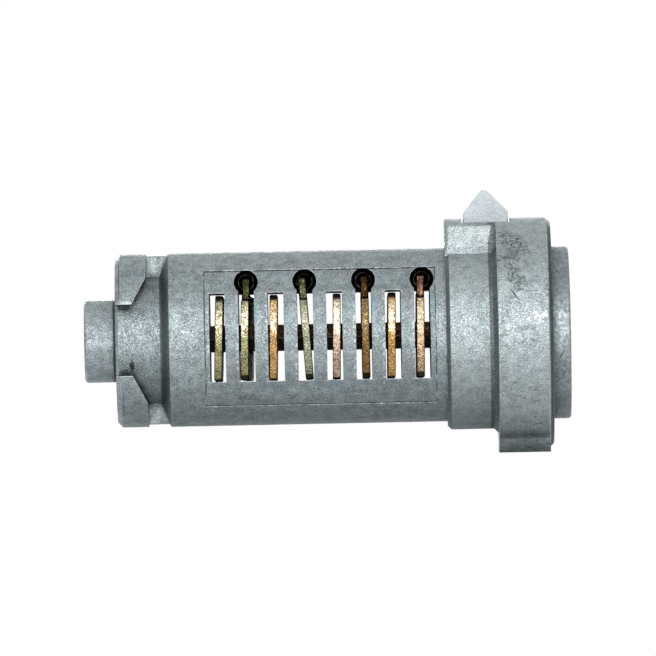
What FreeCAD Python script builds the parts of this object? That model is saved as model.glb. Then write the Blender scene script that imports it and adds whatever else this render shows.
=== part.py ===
"""Ignition lock cylinder: a die-cast plug with eight sprung brass wafers and a key-warning plunger.

Frame: X runs along the plug's axis towards the key's end, Z points the way the white plunger does,
and the origin is on the axis where the barrel reaches its full diameter. Sizes are millimetres.
"""

import FreeCAD
import Part
import Sketcher
import math
import os
import re

# Driving dimensions, each with its meaning.
SIZES = [
    ("tail_radius", 3.42, "drive boss at the rear"),
    ("tail_length", 2.63, "drive boss, past the neck"),
    ("tail_chamfer", 0.2, "broken edge of the drive boss"),
    ("neck_radius", 5.58, "neck between the drive boss and the barrel"),
    ("neck_length", 4.5, "neck, from the origin back to the drive boss"),
    ("neck_chamfer", 0.25, "broken rear edge of the neck"),
    ("neck_flare", 0.78, "slope from the neck up to the barrel, along the axis"),
    ("barrel_radius", 7.23, "barrel that turns in the sleeve"),
    ("barrel_length", 23.0, "barrel, from the origin to the flange"),
    ("barrel_chamfer", 0.12, "broken edge at the barrel's rear end"),
    ("flange_radius", 7.92, "stepped flange behind the ring"),
    ("flange_length", 4.25, "flange, along the axis"),
    ("flange_chamfer", 0.3, "broken rear edge of the flange"),
    ("ring_radius", 9.63, "large ring round the key's end"),
    ("ring_length", 4.55, "ring, along the axis"),
    ("ring_chamfer", 0.4, "broken front edge of the ring"),
    ("ring_root", 0.4, "sloped root between flange and ring"),
    ("lug_radius", 7.2, "outer radius of the two drive lugs"),
    ("lug_chamfer", 0.4, "broken rear edge of the lugs"),
    ("lug_start", 4.46, "rear face of the lugs, behind the origin"),
    ("lug_end", 1.88, "front face of the lugs, behind the origin"),
    ("lug_gap", 5.92, "height of the open way between the lugs"),
    ("lug_flat", 1.38, "straight part of a lug's flank"),
    ("lug_shoulder", 5.16, "height where the slanted flank ends"),
    ("lug_slant_end", 0.04, "from the end of that flank to the lugs' front face"),
    ("rib_height", 7.0, "ribs that tie the lugs to the barrel"),
    ("rib_foot", 4.7, "height where a rib's sides end, inside the neck"),
    ("rib_top_width", 2.8, "rib, front to back, at its top"),
    ("rib_foot_width", 4.0, "rib, front to back, at its foot"),
    ("boss_rise", 0.02, "top of the plunger's boss, past the ring's radius"),
    ("boss_top_width", 7.36, "boss, front to back, where its sides leave its rounded top"),
    ("boss_foot_width", 8.6, "boss, front to back, where its sides meet the flange"),
    ("groove_length", 4.06, "groove across the plunger's seat, along the axis"),
    ("groove_depth", 0.4, "depth of that groove"),
    ("foot_reach", 9.93, "reach of the pad under the ring"),
    ("foot_length", 4.25, "pad under the ring, along the axis"),
    ("foot_width", 5.6, "flat of the pad, front to back"),
    ("foot_root", 0.6, "how far the pad's slopes run into the ring"),
    ("overlap", 0.2, "how far a solid runs into the one it joins or cuts"),
    ("first_slot", 4.0, "centre of the rearmost wafer slot"),
    ("slot_pitch", 2.43, "from one wafer slot to the next"),
    ("slot_width", 1.32, "wafer slot, along the axis"),
    ("slot_high", 3.72, "top of a wafer slot"),
    ("slot_low", 3.6, "bottom of a wafer slot, below the axis"),
    ("bore_radius", 1.0, "bore that holds a wafer's spring"),
    ("bore_height", 4.63, "from the axis to the middle of a spring bore"),
    ("bore_floor", 2.4, "bottom of a spring bore, past the axis"),
    ("ear_way", 1.9, "how far short of the axis the way for an ear ends"),
    ("window_start", 2.95, "moulded window round the slots, rear edge"),
    ("window_end", 22.1, "moulded window round the slots, front edge"),
    ("window_height", 11.2, "moulded window round the slots, top to bottom"),
    ("window_depth", 0.05, "depth of that window"),
    ("keyway_thickness", 2.3, "keyway, top to bottom"),
    ("keyway_width", 6.6, "keyway, front to back"),
    ("keyway_end", 1.4, "blind end of the keyway"),
    ("blade_thickness", 2.15, "setting blade, top to bottom"),
    ("blade_width", 6.4, "setting blade, front to back"),
    ("blade_start", 1.6, "rear end of the setting blade"),
    ("blade_end", 26.0, "front end of the setting blade"),
    ("blade_chamfer", 0.5, "sloped corners at the blade's ends"),
    ("wafer_thickness", 0.67, "brass wafer"),
    ("wafer_height", 7.06, "wafer, top to bottom, without its ear"),
    ("wafer_small_round", 0.25, "wafer's smaller corners"),
    ("wafer_large_round", 0.8, "wafer's larger corner"),
    ("eye_height", 2.4, "opening in a wafer for the key, top to bottom"),
    ("wafer_travel", 0.8, "how far a wafer can be pressed in"),
    ("eye_gap", 0.1, "left between blade and eye when a wafer is pressed in"),
    ("wafer_gap", 0.02, "between the blade and a wafer that rests on it"),
    ("ear_top", 4.96, "height of a wafer's ear"),
    ("ear_root", 3.14, "height where the front of the ear steps back"),
    ("ear_front", 4.6, "front of the ear, from the axis"),
    ("ear_back", 3.0, "back of the ear, from the axis"),
    ("ear_round", 0.2, "corners of the ear"),
    ("coil_radius", 0.67, "wafer spring, middle of the wire"),
    ("coil_wire", 0.28, "wafer spring, wire"),
    ("coil_turns", 6, "wafer spring, turns"),
    ("cap_radius", 7.17, "face cap"),
    ("cap_thickness", 1.48, "face cap, ahead of the ring"),
    ("cap_round", 0.12, "broken edge of the face cap"),
    ("spigot_radius", 6.2, "spigot behind the face cap"),
    ("spigot_length", 0.8, "spigot, along the axis"),
    ("spigot_gap", 0.01, "round the spigot"),
    ("mouth_bevel", 0.45, "bevel that leads the key in"),
    ("plunger_setback", 3.46, "middle of the plunger, ahead of the flange's rear face"),
    ("plunger_length", 3.73, "plunger, along the axis"),
    ("plunger_width", 2.6, "plunger, front to back"),
    ("plunger_shoulder", 0.42, "plunger's rear shoulder, above the boss"),
    ("plunger_step", 0.1, "how much the front shoulder stands higher"),
    ("plunger_tip", 2.3, "plunger's ridge, above the boss"),
    ("plunger_flat", 0.4, "flat along the plunger's ridge"),
    ("plunger_ridge", 0.12, "ridge, from the plunger's middle towards the rear"),
    ("plunger_foot_height", 1.28, "foot that holds the plunger in"),
    ("plunger_foot_reach", 0.3, "foot, past the plunger at each end"),
    ("plunger_travel", 1.6, "how far the plunger can be pressed in"),
    ("well_gap", 0.1, "round the plunger in its well"),
    ("ledge_depth", 1.45, "ledge that stops the foot, below the boss's top"),
    ("well_depth", 4.65, "floor of the plunger's well, below the boss's top"),
    ("stop_gap", 0.02, "between the foot and its ledge"),
    ("seat_radius", 1.25, "seat of the plunger's spring"),
    ("seat_depth", 1.4, "that seat, below the floor of the well"),
    ("plunger_coil_radius", 0.95, "plunger spring, middle of the wire"),
    ("plunger_coil_wire", 0.3, "plunger spring, wire"),
    ("plunger_coil_turns", 5, "plunger spring, turns"),
]
ALIASES = {alias for alias, _, _ in SIZES}

# How each wafer stands in its slot: shift along the axis, lean about Y and swing about Z, rearmost first.
WAFER_STANCES = [
    (0.1, 1.85, 0.0),
    (0.02, 1.24, -1.65),
    (-0.22, 1.24, 0.0),
    (0.07, -3.66, 0.0),
    (0.16, 1.0, 0.0),
    (0.12, -0.3, 0.0),
    (-0.15, 1.1, 0.0),
    (-0.18, 0.7, 0.0),
]
COIL_STEPS = 8
WIRE_SIDES = 5
PAST = 1.0

# Places that several pieces share.
BOSS_TOP = "(ring_radius + boss_rise)"
PLUNGER_MIDDLE = "(barrel_length + plunger_setback)"
LEDGE = f"({BOSS_TOP} - ledge_depth)"
WELL_FLOOR = f"({BOSS_TOP} - well_depth)"
SEAT_FLOOR = f"({WELL_FLOOR} - seat_depth)"

ORIGIN = FreeCAD.Vector(0, 0, 0)
ALONG = FreeCAD.Vector(1, 0, 0)
ACROSS = FreeCAD.Vector(0, 1, 0)
UPWARD = FreeCAD.Vector(0, 0, 1)
PLANE_TURNS = {
    "XY_Plane": FreeCAD.Rotation(),
    "XZ_Plane": FreeCAD.Rotation(ALONG, 90),
    "YZ_Plane": FreeCAD.Rotation(FreeCAD.Vector(1, 1, 1), 120),
}

doc = FreeCAD.newDocument("ignition_lock_cylinder")


def fill_sheet():
    """The spreadsheet that holds every driving dimension."""
    sheet = doc.addObject("Spreadsheet::Sheet", "Sizes")
    for row, (alias, value, meaning) in enumerate(SIZES, start=1):
        sheet.set(f"A{row}", alias)
        sheet.set(f"B{row}", str(value))
        sheet.set(f"C{row}", meaning)
        sheet.setAlias(f"B{row}", alias)
    doc.recompute()
    return sheet


def linked(text):
    """An expression in which every size's name is a link to its cell."""
    return re.sub(r"[a-z_]+", lambda word: f"Sizes.{word[0]}" if word[0] in ALIASES else word[0], text)


def size(text):
    """The present value of an expression of sizes."""
    return float(doc.Sizes.evalExpression(linked(text)))


def bind(thing, prop, text):
    """Ties a property of an object to an expression of sizes."""
    thing.setExpression(prop, linked(text))


def arc_centre(start, end, radius, left):
    """Centre of the short arc from start to end that turns left or right."""
    chord = end - start
    rise = math.sqrt(max(radius**2 - chord.Length**2 / 4, 0))
    normal = FreeCAD.Vector(-chord.y, chord.x, 0).normalize()
    return (start + end) * 0.5 + normal * (rise if left else -rise)


def draw_outline(sketch, corners, arcs):
    """Draws one closed outline, its corners and radii tied to the sheet.

    arcs maps the number of a side to (radius, "left" or "right"): the way the side turns.
    """
    points = [FreeCAD.Vector(size(x), size(y), 0) for x, y in corners]
    first = sketch.GeometryCount
    count = len(points)
    ends = []
    for side in range(count):
        start = points[side]
        end = points[(side + 1) % count]
        if side not in arcs:
            sketch.addGeometry(Part.LineSegment(start, end))
            ends.append((1, 2))
            continue
        radius, turn = arcs[side]
        left = turn == "left"
        centre = arc_centre(start, end, size(radius), left)
        spokes = [start - centre, end - centre] if left else [end - centre, start - centre]
        angles = [math.atan2(spoke.y, spoke.x) for spoke in spokes]
        circle = Part.Circle(centre, UPWARD, size(radius))
        sketch.addGeometry(Part.ArcOfCircle(circle, *angles))
        ends.append((1, 2) if left else (2, 1))
    for side in range(count):
        after = (side + 1) % count
        sketch.addConstraint(
            Sketcher.Constraint("Coincident", first + side, ends[side][1], first + after, ends[after][0])
        )
    for side, (x, y) in enumerate(corners):
        spot = (first + side, ends[side][0])
        for kind, axis, text, value in (
            ("DistanceX", -2, x, points[side].x),
            ("DistanceY", -1, y, points[side].y),
        ):
            if text == "0":
                sketch.addConstraint(Sketcher.Constraint("PointOnObject", *spot, axis))
                continue
            held = sketch.addConstraint(Sketcher.Constraint(kind, -1, 1, *spot, value))
            bind(sketch, f"Constraints[{held}]", text)
    for side, (radius, _) in arcs.items():
        held = sketch.addConstraint(Sketcher.Constraint("Radius", first + side, size(radius)))
        bind(sketch, f"Constraints[{held}]", radius)


def new_sketch(name, plane, body=None, offset="0"):
    """A sketch on a plane of a body, or by itself on the same plane of the document."""
    if body is None:
        sketch = doc.addObject("Sketcher::SketchObject", name)
        sketch.Placement = FreeCAD.Placement(ORIGIN, PLANE_TURNS[plane])
        if offset != "0":
            axis = {"XY_Plane": "z", "XZ_Plane": "y", "YZ_Plane": "x"}[plane]
            bind(sketch, f".Placement.Base.{axis}", offset)
        return sketch
    sketch = body.newObject("Sketcher::SketchObject", name)
    support = next(item for item in body.Origin.OriginFeatures if item.Role == plane)
    sketch.AttachmentSupport = (support, [""])
    sketch.MapMode = "FlatFace"
    if offset != "0":
        bind(sketch, ".AttachmentOffset.Base.z", offset)
    return sketch


def outline(name, plane, corners, arcs=None, body=None, offset="0"):
    """A sketch that holds one closed outline."""
    sketch = new_sketch(name, plane, body, offset)
    draw_outline(sketch, corners, arcs or {})
    return sketch


def extruded(name, sketch, direction, length, symmetric=False):
    """A sketch drawn out along a direction."""
    solid = doc.addObject("Part::Extrusion", name)
    solid.Base = sketch
    solid.DirMode = "Custom"
    solid.Dir = direction
    bind(solid, "LengthFwd", length)
    solid.Symmetric = symmetric
    solid.Solid = True
    return solid


def revolved(name, sketch):
    """A sketch turned once round the plug's axis."""
    solid = doc.addObject("Part::Revolution", name)
    solid.Source = sketch
    solid.Axis = ALONG
    solid.Angle = 360
    solid.Solid = True
    return solid


def box(name, low, high):
    """A box between two corners, given as expressions."""
    solid = doc.addObject("Part::Box", name)
    for prop, axis, start, end in zip(("Length", "Width", "Height"), "xyz", low, high):
        bind(solid, f".Placement.Base.{axis}", start)
        bind(solid, prop, f"({end}) - ({start})")
    return solid


def rod(name, radius, length, start, direction):
    """A cylinder from a point, given as expressions, along a direction."""
    solid = doc.addObject("Part::Cylinder", name)
    solid.Placement = FreeCAD.Placement(ORIGIN, FreeCAD.Rotation(UPWARD, direction))
    for axis, text in zip("xyz", start):
        bind(solid, f".Placement.Base.{axis}", text)
    bind(solid, "Radius", radius)
    bind(solid, "Height", length)
    return solid


def joined(name, solids):
    """Solids fused into one."""
    fusion = doc.addObject("Part::MultiFuse", name)
    fusion.Shapes = solids
    fusion.Refine = True
    return fusion


def shared(name, solids):
    """What all the solids have in common."""
    common = doc.addObject("Part::MultiCommon", name)
    common.Shapes = solids
    return common


def cut(name, base, tool):
    """A solid less another one."""
    rest = doc.addObject("Part::Cut", name)
    rest.Base = base
    rest.Tool = tool
    rest.Refine = True
    return rest


def padded(body, name, sketch, length, side_type="One side"):
    """A pad of a body's sketch."""
    pad = body.newObject("PartDesign::Pad", name)
    pad.Profile = sketch
    pad.SideType = side_type
    bind(pad, "Length", length)
    return pad


def pocketed(body, name, sketch, length, side_type="One side", reversed_way=False):
    """A pocket of a body's sketch."""
    pocket = body.newObject("PartDesign::Pocket", name)
    pocket.Profile = sketch
    pocket.SideType = side_type
    pocket.Reversed = reversed_way
    bind(pocket, "Length", length)
    return pocket


def edges_near(shape, spots, plane_axes):
    """Names of the edges whose middle lies at one of the spots, seen along the third axis."""
    names = []
    for number, edge in enumerate(shape.Edges, start=1):
        middle = edge.valueAt((edge.FirstParameter + edge.LastParameter) / 2)
        if isinstance(edge.Curve, Part.Line):
            place = [getattr(middle, axis) for axis in plane_axes]
            if any(math.dist(place, spot) < 1e-4 for spot in spots):
                names.append(f"Edge{number}")
    return names


def rounded(body, name, base, spots, plane_axes, radius, kind="Fillet"):
    """Rounds or chamfers the straight edges at the given spots."""
    doc.recompute()
    feature = body.newObject(f"PartDesign::{kind}", name)
    feature.Base = (base, edges_near(base.Shape, spots, plane_axes))
    bind(feature, "Radius" if kind == "Fillet" else "Size", radius)
    return feature


def turned_plug():
    """The turned shape of the casting: drive boss, neck, barrel, flange and ring."""
    body = doc.addObject("PartDesign::Body", "turned_plug")
    rear = "-neck_length - tail_length"
    flange_end = "barrel_length + flange_length"
    ring_end = "barrel_length + flange_length + ring_length"
    corners = [
        (rear, "0"),
        (rear, "tail_radius - tail_chamfer"),
        (f"{rear} + tail_chamfer", "tail_radius"),
        ("-neck_length", "tail_radius"),
        ("-neck_length", "neck_radius - neck_chamfer"),
        ("-neck_length + neck_chamfer", "neck_radius"),
        ("-neck_flare", "neck_radius"),
        ("-barrel_chamfer", "barrel_radius - barrel_chamfer"),
        ("0", "barrel_radius"),
        ("barrel_length", "barrel_radius"),
        ("barrel_length", "flange_radius - flange_chamfer"),
        ("barrel_length + flange_chamfer", "flange_radius"),
        (f"{flange_end} - ring_root", "flange_radius"),
        (flange_end, "flange_radius + ring_root"),
        (flange_end, "ring_radius"),
        (f"{ring_end} - ring_chamfer", "ring_radius"),
        (ring_end, "ring_radius - ring_chamfer"),
        (ring_end, "0"),
    ]
    sketch = outline("turned_outline", "XY_Plane", corners, {}, body)
    turn = body.newObject("PartDesign::Revolution", "turned")
    turn.Profile = sketch
    turn.ReferenceAxis = (sketch, ["H_Axis"])
    turn.Angle = 360
    return body


def mirrored(name, solid, normal):
    """The solid's mirror image in a plane through the origin."""
    image = doc.addObject("Part::Mirroring", name)
    image.Source = solid
    image.Base = ORIGIN
    image.Normal = normal
    return image


def drive_lug():
    """The upper of two lugs that drive the ignition switch, and the rib behind it."""
    flank = outline(
        "lug_outline",
        "XZ_Plane",
        [
            ("-lug_start", "lug_gap / 2"),
            ("-lug_start + lug_flat", "lug_gap / 2"),
            ("-lug_end - lug_slant_end", "lug_shoulder"),
            ("-lug_end", "lug_radius"),
            ("-lug_start", "lug_radius"),
        ],
    )
    block = extruded("lug_block", flank, ACROSS, "2 * lug_radius", symmetric=True)
    rim = outline(
        "lug_rim",
        "XY_Plane",
        [
            ("-lug_start", "0"),
            ("-lug_start", "lug_radius - lug_chamfer"),
            ("-lug_start + lug_chamfer", "lug_radius"),
            ("-lug_end", "lug_radius"),
            ("-lug_end", "0"),
        ],
    )
    lug = shared("lug", [block, revolved("lug_disc", rim)])
    rib_section = outline(
        "rib_section",
        "YZ_Plane",
        [
            ("-rib_foot_width / 2", "rib_foot"),
            ("rib_foot_width / 2", "rib_foot"),
            ("rib_top_width / 2", "rib_height"),
            ("-rib_top_width / 2", "rib_height"),
        ],
        offset="-lug_end - overlap",
    )
    rib = extruded("rib", rib_section, ALONG, "lug_end + overlap - barrel_chamfer")
    return [lug, rib]


def plunger_boss():
    """The boss on the flange that carries the plunger, and the pad under the ring."""
    section = outline(
        "boss_section",
        "YZ_Plane",
        [
            ("-boss_foot_width / 2", "sqrt(flange_radius ^ 2 - boss_foot_width ^ 2 / 4) - overlap"),
            ("boss_foot_width / 2", "sqrt(flange_radius ^ 2 - boss_foot_width ^ 2 / 4) - overlap"),
            ("boss_foot_width / 2", "sqrt(flange_radius ^ 2 - boss_foot_width ^ 2 / 4)"),
            ("boss_top_width / 2", f"sqrt({BOSS_TOP} ^ 2 - boss_top_width ^ 2 / 4)"),
            ("-boss_top_width / 2", f"sqrt({BOSS_TOP} ^ 2 - boss_top_width ^ 2 / 4)"),
            ("-boss_foot_width / 2", "sqrt(flange_radius ^ 2 - boss_foot_width ^ 2 / 4)"),
        ],
        {3: (BOSS_TOP, "left")},
        offset="barrel_length",
    )
    boss = extruded("boss", section, ALONG, "flange_length + ring_root")
    drop = "(foot_reach - ring_radius + foot_root)"
    foot_section = outline(
        "foot_section",
        "YZ_Plane",
        [
            ("-foot_width / 2", "-foot_reach"),
            ("foot_width / 2", "-foot_reach"),
            (f"foot_width / 2 + {drop}", f"-foot_reach + {drop}"),
            (f"-foot_width / 2 - {drop}", f"-foot_reach + {drop}"),
        ],
        offset="barrel_length + flange_length",
    )
    foot = extruded("foot", foot_section, ALONG, "foot_length")
    return [boss, foot]


def wafer_place(number):
    """Centre of a slot along the axis, as an expression; numbers start at 1 at the rear."""
    return f"first_slot + {number - 1} * slot_pitch"


def near_side(number):
    """True where a wafer's ear and spring face the front, which is -Y."""
    return number % 2 == 0


def wafer_cuts(number):
    """The slot for one wafer, the bore for its spring and the way for its ear."""
    middle = wafer_place(number)
    reach = f"barrel_radius + {PAST}"
    slot = box(
        f"slot_{number}",
        (f"{middle} - slot_width / 2", f"-({reach})", "-slot_low"),
        (f"{middle} + slot_width / 2", reach, "slot_high"),
    )
    way_low = f"-({reach})" if near_side(number) else "ear_way"
    way_high = "-ear_way" if near_side(number) else reach
    low = "slot_high - overlap" if near_side(number) else "-bore_height"
    high = "bore_height" if near_side(number) else "-slot_low + overlap"
    way = box(
        f"way_{number}",
        (f"{middle} - slot_width / 2", way_low, low),
        (f"{middle} + slot_width / 2", way_high, high),
    )
    bore = rod(
        f"bore_{number}",
        "bore_radius",
        f"{reach} + bore_floor",
        (
            middle,
            "bore_floor" if near_side(number) else "-bore_floor",
            "bore_height" if near_side(number) else "-bore_height",
        ),
        -ACROSS if near_side(number) else ACROSS,
    )
    return [slot, way, bore]


def moulded_windows():
    """The shallow rectangle that the sliding cores leave round the slots, on both sides."""
    ends = [
        box(
            f"window_core_{name}",
            ("window_start", low, "-window_height / 2"),
            ("window_end", high, "window_height / 2"),
        )
        for name, low, high in (
            ("near", "-barrel_radius - 1", "-barrel_radius / 3"),
            ("far", "barrel_radius / 3", "barrel_radius + 1"),
        )
    ]
    core = rod(
        "window_floor",
        "barrel_radius - window_depth",
        "window_end - window_start + 2",
        ("window_start - 1", "0", "0"),
        ALONG,
    )
    return [cut(f"window_{index}", end, core) for index, end in enumerate(ends)]


def plunger_well():
    """The well for the plunger, the seat of its spring and the groove across the top."""
    half = "plunger_length / 2 + well_gap"
    chamber = f"{half} + plunger_foot_reach"
    width = "plunger_width / 2 + well_gap"
    mouth = box(
        "well_mouth",
        (f"{PLUNGER_MIDDLE} - ({half})", f"-({width})", f"{LEDGE} - overlap"),
        (f"{PLUNGER_MIDDLE} + {half}", width, f"{BOSS_TOP} + 1"),
    )
    room = box(
        "well_room",
        (f"{PLUNGER_MIDDLE} - ({chamber})", f"-({width})", WELL_FLOOR),
        (f"{PLUNGER_MIDDLE} + {chamber}", width, LEDGE),
    )
    seat = rod(
        "spring_seat",
        "seat_radius",
        "seat_depth + overlap",
        (PLUNGER_MIDDLE, "0", SEAT_FLOOR),
        UPWARD,
    )
    groove = box(
        "top_groove",
        (f"{PLUNGER_MIDDLE} - groove_length / 2", "-ring_radius", f"{BOSS_TOP} - groove_depth"),
        (f"{PLUNGER_MIDDLE} + groove_length / 2", "ring_radius", f"{BOSS_TOP} + 1"),
    )
    return [mouth, room, seat, groove]


def plug_casting():
    """The zinc casting that turns with the key."""
    upper = drive_lug()
    lower = [mirrored(f"lower_{solid.Name}", solid, UPWARD) for solid in upper]
    solid = joined("plug_blank", [turned_plug()] + upper + lower + plunger_boss())
    keyway = box(
        "keyway",
        ("keyway_end", "-keyway_width / 2", "-keyway_thickness / 2"),
        ("barrel_length + flange_length + ring_length + 1", "keyway_width / 2", "keyway_thickness / 2"),
    )
    recess = rod(
        "cap_recess",
        "spigot_radius + spigot_gap",
        "spigot_length + 1",
        ("barrel_length + flange_length + ring_length - spigot_length", "0", "0"),
        ALONG,
    )
    tools = [keyway, recess] + moulded_windows() + plunger_well()
    for number in range(1, len(WAFER_STANCES) + 1):
        tools += wafer_cuts(number)
    return cut("plug_casting", solid, joined("plug_cores", tools))


def face_cap():
    """The plain cap on the front, with a bevelled mouth for the key."""
    body = doc.addObject("PartDesign::Body", "face_cap")
    front = "barrel_length + flange_length + ring_length"
    corners = [
        (f"{front} - spigot_length", "0"),
        (f"{front} - spigot_length", "spigot_radius"),
        (front, "spigot_radius"),
        (front, "cap_radius"),
        (f"{front} + cap_thickness - cap_round", "cap_radius"),
        (f"{front} + cap_thickness", "cap_radius - cap_round"),
        (f"{front} + cap_thickness", "0"),
    ]
    sketch = outline("cap_outline", "XY_Plane", corners, {}, body)
    turn = body.newObject("PartDesign::Revolution", "cap_turned")
    turn.Profile = sketch
    turn.ReferenceAxis = (sketch, ["H_Axis"])
    turn.Angle = 360
    mouth = outline(
        "mouth_outline",
        "YZ_Plane",
        [
            ("-keyway_width / 2", "-keyway_thickness / 2"),
            ("keyway_width / 2", "-keyway_thickness / 2"),
            ("keyway_width / 2", "keyway_thickness / 2"),
            ("-keyway_width / 2", "keyway_thickness / 2"),
        ],
        {},
        body,
        f"{front} + cap_thickness",
    )
    pocketed(body, "mouth", mouth, "cap_thickness + spigot_length + 1")
    doc.recompute()
    face = size(f"{front} + cap_thickness")
    tip = body.Tip
    rim = [
        f"Edge{number}"
        for number, edge in enumerate(tip.Shape.Edges, start=1)
        if isinstance(edge.Curve, Part.Line)
        and abs(edge.BoundBox.XMin - face) < 1e-4
        and abs(edge.BoundBox.XMax - face) < 1e-4
    ]
    bevel = body.newObject("PartDesign::Chamfer", "mouth_bevel")
    bevel.Base = (tip, rim)
    bind(bevel, "Size", "mouth_bevel")
    return body


def setting_blade():
    """The plain bar in the keyway that holds the wafers level."""
    body = doc.addObject("PartDesign::Body", "setting_blade")
    corners = [
        ("blade_start", "-blade_width / 2 + blade_chamfer"),
        ("blade_start + blade_chamfer", "-blade_width / 2"),
        ("blade_end - blade_chamfer", "-blade_width / 2"),
        ("blade_end", "-blade_width / 2 + blade_chamfer"),
        ("blade_end", "blade_width / 2 - blade_chamfer"),
        ("blade_end - blade_chamfer", "blade_width / 2"),
        ("blade_start + blade_chamfer", "blade_width / 2"),
        ("blade_start", "blade_width / 2 - blade_chamfer"),
    ]
    sketch = outline("blade_outline", "XY_Plane", corners, {}, body)
    padded(body, "blade", sketch, "blade_thickness", "Symmetric")
    return body


def wafer(number):
    """One wafer, stamped from brass sheet: plate, eye for the key and ear for its spring."""
    body = doc.addObject("PartDesign::Body", f"wafer_{number}")
    half = "wafer_height / 2"
    plate_end = "sqrt(barrel_radius ^ 2 - wafer_height ^ 2 / 4)"
    corners = [
        (f"-{plate_end}", f"-{half}"),
        (plate_end, f"-{half}"),
        (plate_end, half),
        ("-ear_back", half),
        ("-ear_back", "ear_top"),
        ("-ear_front", "ear_top"),
        ("-ear_front", "ear_root"),
        ("-sqrt(barrel_radius ^ 2 - ear_root ^ 2)", "ear_root"),
    ]
    arcs = {1: ("barrel_radius", "left"), 7: ("barrel_radius", "left")}
    sketch = outline(f"wafer_outline_{number}", "YZ_Plane", corners, arcs, body)
    eye = [
        ("-blade_width / 2 - wafer_travel - eye_gap", "-eye_height / 2"),
        ("blade_width / 2 + wafer_gap", "-eye_height / 2"),
        ("blade_width / 2 + wafer_gap", "eye_height / 2"),
        ("-blade_width / 2 - wafer_travel - eye_gap", "eye_height / 2"),
    ]
    draw_outline(sketch, eye, {})
    plate = padded(body, f"plate_{number}", sketch, "wafer_thickness", "Symmetric")
    end = size(plate_end)
    high = size(half)
    root = size("ear_root")
    small = [(-end, -high), (end, high), (-size("sqrt(barrel_radius ^ 2 - ear_root ^ 2)"), root)]
    ear = [(-size("ear_back"), size("ear_top")), (-size("ear_front"), size("ear_top"))]
    last = rounded(body, f"small_rounds_{number}", plate, small, "yz", "wafer_small_round")
    last = rounded(body, f"large_round_{number}", last, [(end, -high)], "yz", "wafer_large_round")
    rounded(body, f"ear_rounds_{number}", last, ear, "yz", "ear_round")
    shift, lean, swing = WAFER_STANCES[number - 1]
    turn = FreeCAD.Rotation(UPWARD, swing).multiply(FreeCAD.Rotation(ACROSS, lean))
    if not near_side(number):
        turn = turn.multiply(FreeCAD.Rotation(ALONG, 180))
    body.Placement = FreeCAD.Placement(ORIGIN, turn)
    bind(body, ".Placement.Base.x", f"{wafer_place(number)} + {shift}")
    return body


def coil(name, radius, wire, turns, length):
    """A coil spring from the origin along Z, its wire drawn with flat sides."""
    rise = length - wire
    steps = int(round(turns * COIL_STEPS))
    sections = []
    for step in range(steps + 1):
        angle = 2 * math.pi * step / COIL_STEPS
        height = wire / 2 + rise * step / steps
        ring = []
        for corner in range(WIRE_SIDES + 1):
            way = 2 * math.pi * (corner + 0.5) / WIRE_SIDES
            out = radius + wire / 2 * math.cos(way)
            ring.append(
                FreeCAD.Vector(
                    out * math.cos(angle),
                    out * math.sin(angle),
                    height + wire / 2 * math.sin(way),
                )
            )
        sections.append(Part.makePolygon(ring))
    spring = doc.addObject("Part::Feature", name)
    spring.Shape = Part.makeLoft(sections, True, True)
    return spring


def wafer_spring(number):
    """The coil spring that presses one wafer out, between its ear and the bottom of its bore."""
    spring = coil(
        f"wafer_spring_{number}",
        size("coil_radius"),
        size("coil_wire"),
        size("coil_turns"),
        size("bore_floor + ear_back"),
    )
    side = 1 if near_side(number) else -1
    spring.Placement = FreeCAD.Placement(
        FreeCAD.Vector(size(wafer_place(number)), side * size("bore_floor"), side * size("bore_height")),
        FreeCAD.Rotation(UPWARD, -side * ACROSS),
    )
    return spring


def warning_plunger():
    """The white plunger that tells the steering column's switch that a key is in."""
    body = doc.addObject("PartDesign::Body", "warning_plunger")
    rear = f"{PLUNGER_MIDDLE} - plunger_length / 2"
    front = f"{PLUNGER_MIDDLE} + plunger_length / 2"
    top = f"{LEDGE} - stop_gap"
    ridge = f"{PLUNGER_MIDDLE} - plunger_ridge"
    corners = [
        (f"{rear} - plunger_foot_reach", f"{top} - plunger_foot_height"),
        (f"{front} + plunger_foot_reach", f"{top} - plunger_foot_height"),
        (f"{front} + plunger_foot_reach", top),
        (front, top),
        (front, f"{BOSS_TOP} + plunger_shoulder + plunger_step"),
        (f"{ridge} + plunger_flat / 2", f"{BOSS_TOP} + plunger_tip"),
        (f"{ridge} - plunger_flat / 2", f"{BOSS_TOP} + plunger_tip"),
        (rear, f"{BOSS_TOP} + plunger_shoulder"),
        (rear, top),
        (f"{rear} - plunger_foot_reach", top),
    ]
    sketch = outline("plunger_outline", "XZ_Plane", corners, {}, body)
    padded(body, "plunger", sketch, "plunger_width", "Symmetric")
    return body


def plunger_spring():
    """The coil spring under the plunger."""
    spring = coil(
        "plunger_spring",
        size("plunger_coil_radius"),
        size("plunger_coil_wire"),
        size("plunger_coil_turns"),
        size(f"{LEDGE} - stop_gap - plunger_foot_height - {SEAT_FLOOR}"),
    )
    spring.Placement = FreeCAD.Placement(
        FreeCAD.Vector(size(PLUNGER_MIDDLE), 0, size(SEAT_FLOOR)), FreeCAD.Rotation()
    )
    return spring


def sub_parts():
    """Every separate piece of the lock cylinder."""
    numbers = range(1, len(WAFER_STANCES) + 1)
    pieces = [plug_casting(), face_cap(), setting_blade(), warning_plunger(), plunger_spring()]
    pieces += [wafer(number) for number in numbers]
    pieces += [wafer_spring(number) for number in numbers]
    return pieces


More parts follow.
